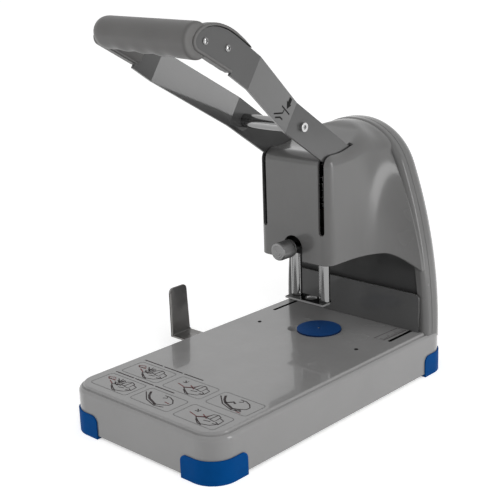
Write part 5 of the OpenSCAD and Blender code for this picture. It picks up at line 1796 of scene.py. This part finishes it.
@dataclass
class Studio:
    """Floor, soft lights, white background and the camera."""

    eye: tuple[float, float, float] = (0.68699, -0.74222, 0.45173)
    azimuth: float = 43.61
    elevation: float = 16.17
    roll: float = -2.01
    lens: float = 75.4
    floor_size: float = 40.0
    sky: float = 0.3
    # Metres from the middle where the floor's own light starts and ends, and its strengths.
    floor_glow: tuple[float, float, float, float] = (0.25, 1.4, 0.46, 0.8)
    aim_z: float = 0.15

    # Name, place, width and height in metres, watts, and whether gloss shows the lamp.
    LAMPS: ClassVar[list[tuple[str, Point, tuple[float, float], float, bool]]] = [
        ("right_softbox", (1.25, -1.1, 1.3), (0.6, 0.9), 14.0, False),
        ("rear_softbox", (1.32, 0.42, 0.40), (0.44, 0.9), 6.0, True),
        ("far_softbox", (1.3, 0.9, 0.4), (0.5, 0.6), 5.5, False),
        ("left_softbox", (-1.2, -1.4, 0.6), (0.7, 1.1), 13.0, False),
        ("top_softbox", (0.1, -0.1, 1.9), (1.3, 1.3), 4.5, False),
    ]

    def camera(self) -> None:
        """Puts the camera where the photograph was taken from."""
        a, e, r = (math.radians(d) for d in (self.azimuth, self.elevation, self.roll))
        back = Vector((math.sin(a) * math.cos(e), -math.cos(a) * math.cos(e), math.sin(e)))
        level = Vector((math.cos(a), math.sin(a), 0))
        upright = back.cross(level)
        right = level * math.cos(r) + upright * math.sin(r)
        up = upright * math.cos(r) - level * math.sin(r)
        data = bpy.data.cameras.new("photo_camera")
        data.lens = self.lens
        data.sensor_width = 36.0
        data.clip_start, data.clip_end = 0.01, 50
        camera = bpy.data.objects.new("photo_camera", data)
        camera.matrix_world = Matrix((
            (right.x, up.x, back.x, self.eye[0]), (right.y, up.y, back.y, self.eye[1]),
            (right.z, up.z, back.z, self.eye[2]), (0, 0, 0, 1)))
        bpy.context.scene.collection.objects.link(camera)
        bpy.context.scene.camera = camera

    def softbox(self, name: str, at: Point, size: tuple[float, float], power: float,
                mirrored: bool) -> None:
        """A rectangular light that looks at the machine, and shows in gloss or not."""
        data = bpy.data.lights.new(name, "AREA")
        data.shape = "RECTANGLE"
        data.size, data.size_y = size
        data.energy = power
        lamp = bpy.data.objects.new(name, data)
        lamp.matrix_world = facing(at, Vector(at) - Vector((0, 0, self.aim_z)))
        lamp.visible_glossy = mirrored
        bpy.context.scene.collection.objects.link(lamp)

    @staticmethod
    def seen_white(tree: bpy.types.NodeTree) -> bpy.types.NodeSocket:
        """1 for rays that show the background: the camera's, reflections and glass."""
        path = add_node(tree, "LightPath")
        total = path.outputs["Is Camera Ray"]
        for name in ("Is Glossy Ray", "Is Transmission Ray"):
            most = add_node(tree, "Math", total, path.outputs[name], operation="MAXIMUM")
            total = most.outputs["Value"]
        return total

    def world(self) -> None:
        """Soft grey light all round that shows as white."""
        world = bpy.data.worlds.new("studio")
        world.use_nodes = True
        tree = world.node_tree
        light = tree.nodes["Background"]
        light.inputs["Color"].default_value = (1, 1, 1, 1)
        light.inputs["Strength"].default_value = self.sky
        white = add_node(tree, "Background", Color=(1, 1, 1, 1))
        mix = add_node(tree, "MixShader", self.seen_white(tree), light.outputs["Background"],
                       white.outputs["Background"])
        tree.links.new(mix.outputs["Shader"], tree.nodes["World Output"].inputs["Surface"])
        bpy.context.scene.world = world

    def floor(self) -> None:
        """A pale sheet that keeps the machine's shadow and goes white away from it."""
        half = self.floor_size / 2 / MM
        points = [(-half, -half, 0), (half, -half, 0), (half, half, 0), (-half, half, 0)]
        floor = solid("floor", points, [[0, 1, 2, 3]])
        material = bpy.data.materials.new("pale_sheet")
        material.use_nodes = True
        tree = material.node_tree
        shader = tree.nodes["Principled BSDF"]
        shader.inputs["Base Color"].default_value = (0.85, 0.85, 0.85, 1)
        shader.inputs["Roughness"].default_value = 0.9
        shader.inputs["Specular IOR Level"].default_value = 0.0
        shader.inputs["Emission Color"].default_value = (1, 1, 1, 1)
        away = add_node(tree, "VectorMath", Effects.place(tree), operation="LENGTH")
        rise = add_node(tree, "MapRange", away.outputs["Value"])
        for name, value in zip(("From Min", "From Max", "To Min", "To Max"), self.floor_glow):
            rise.inputs[name].default_value = value
        glow = product(tree, self.seen_white(tree), rise.outputs["Result"])
        tree.links.new(glow, shader.inputs["Emission Strength"])
        floor.data.materials.append(material)

    def build(self) -> None:
        """Sets the studio up."""
        bpy.context.scene.view_settings.view_transform = "Standard"
        self.world()
        self.floor()
        for lamp in self.LAMPS:
            self.softbox(*lamp)
        self.camera()


def corners(box: tuple[Vector, Vector]) -> list[list[float]]:
    """A box's two corners as plain lists."""
    return [list(corner) for corner in box]


def main() -> None:
    """Builds the machine's looks round the frame, piece by piece."""
    logging.basicConfig(level=logging.INFO, format="%(message)s")
    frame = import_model()
    log.info("the frame has %d nodes", len(frame["nodes"]))
    shop = Workshop()
    base = Base(shop)
    base.build()
    Hood(shop, base).build()
    Lever(shop).build()
    Works(shop).build()
    CarriedParts(shop).dress(frame["nodes"])
    Studio().build()
    bpy.context.view_layer.update()


if __name__ == "__main__":
    main()
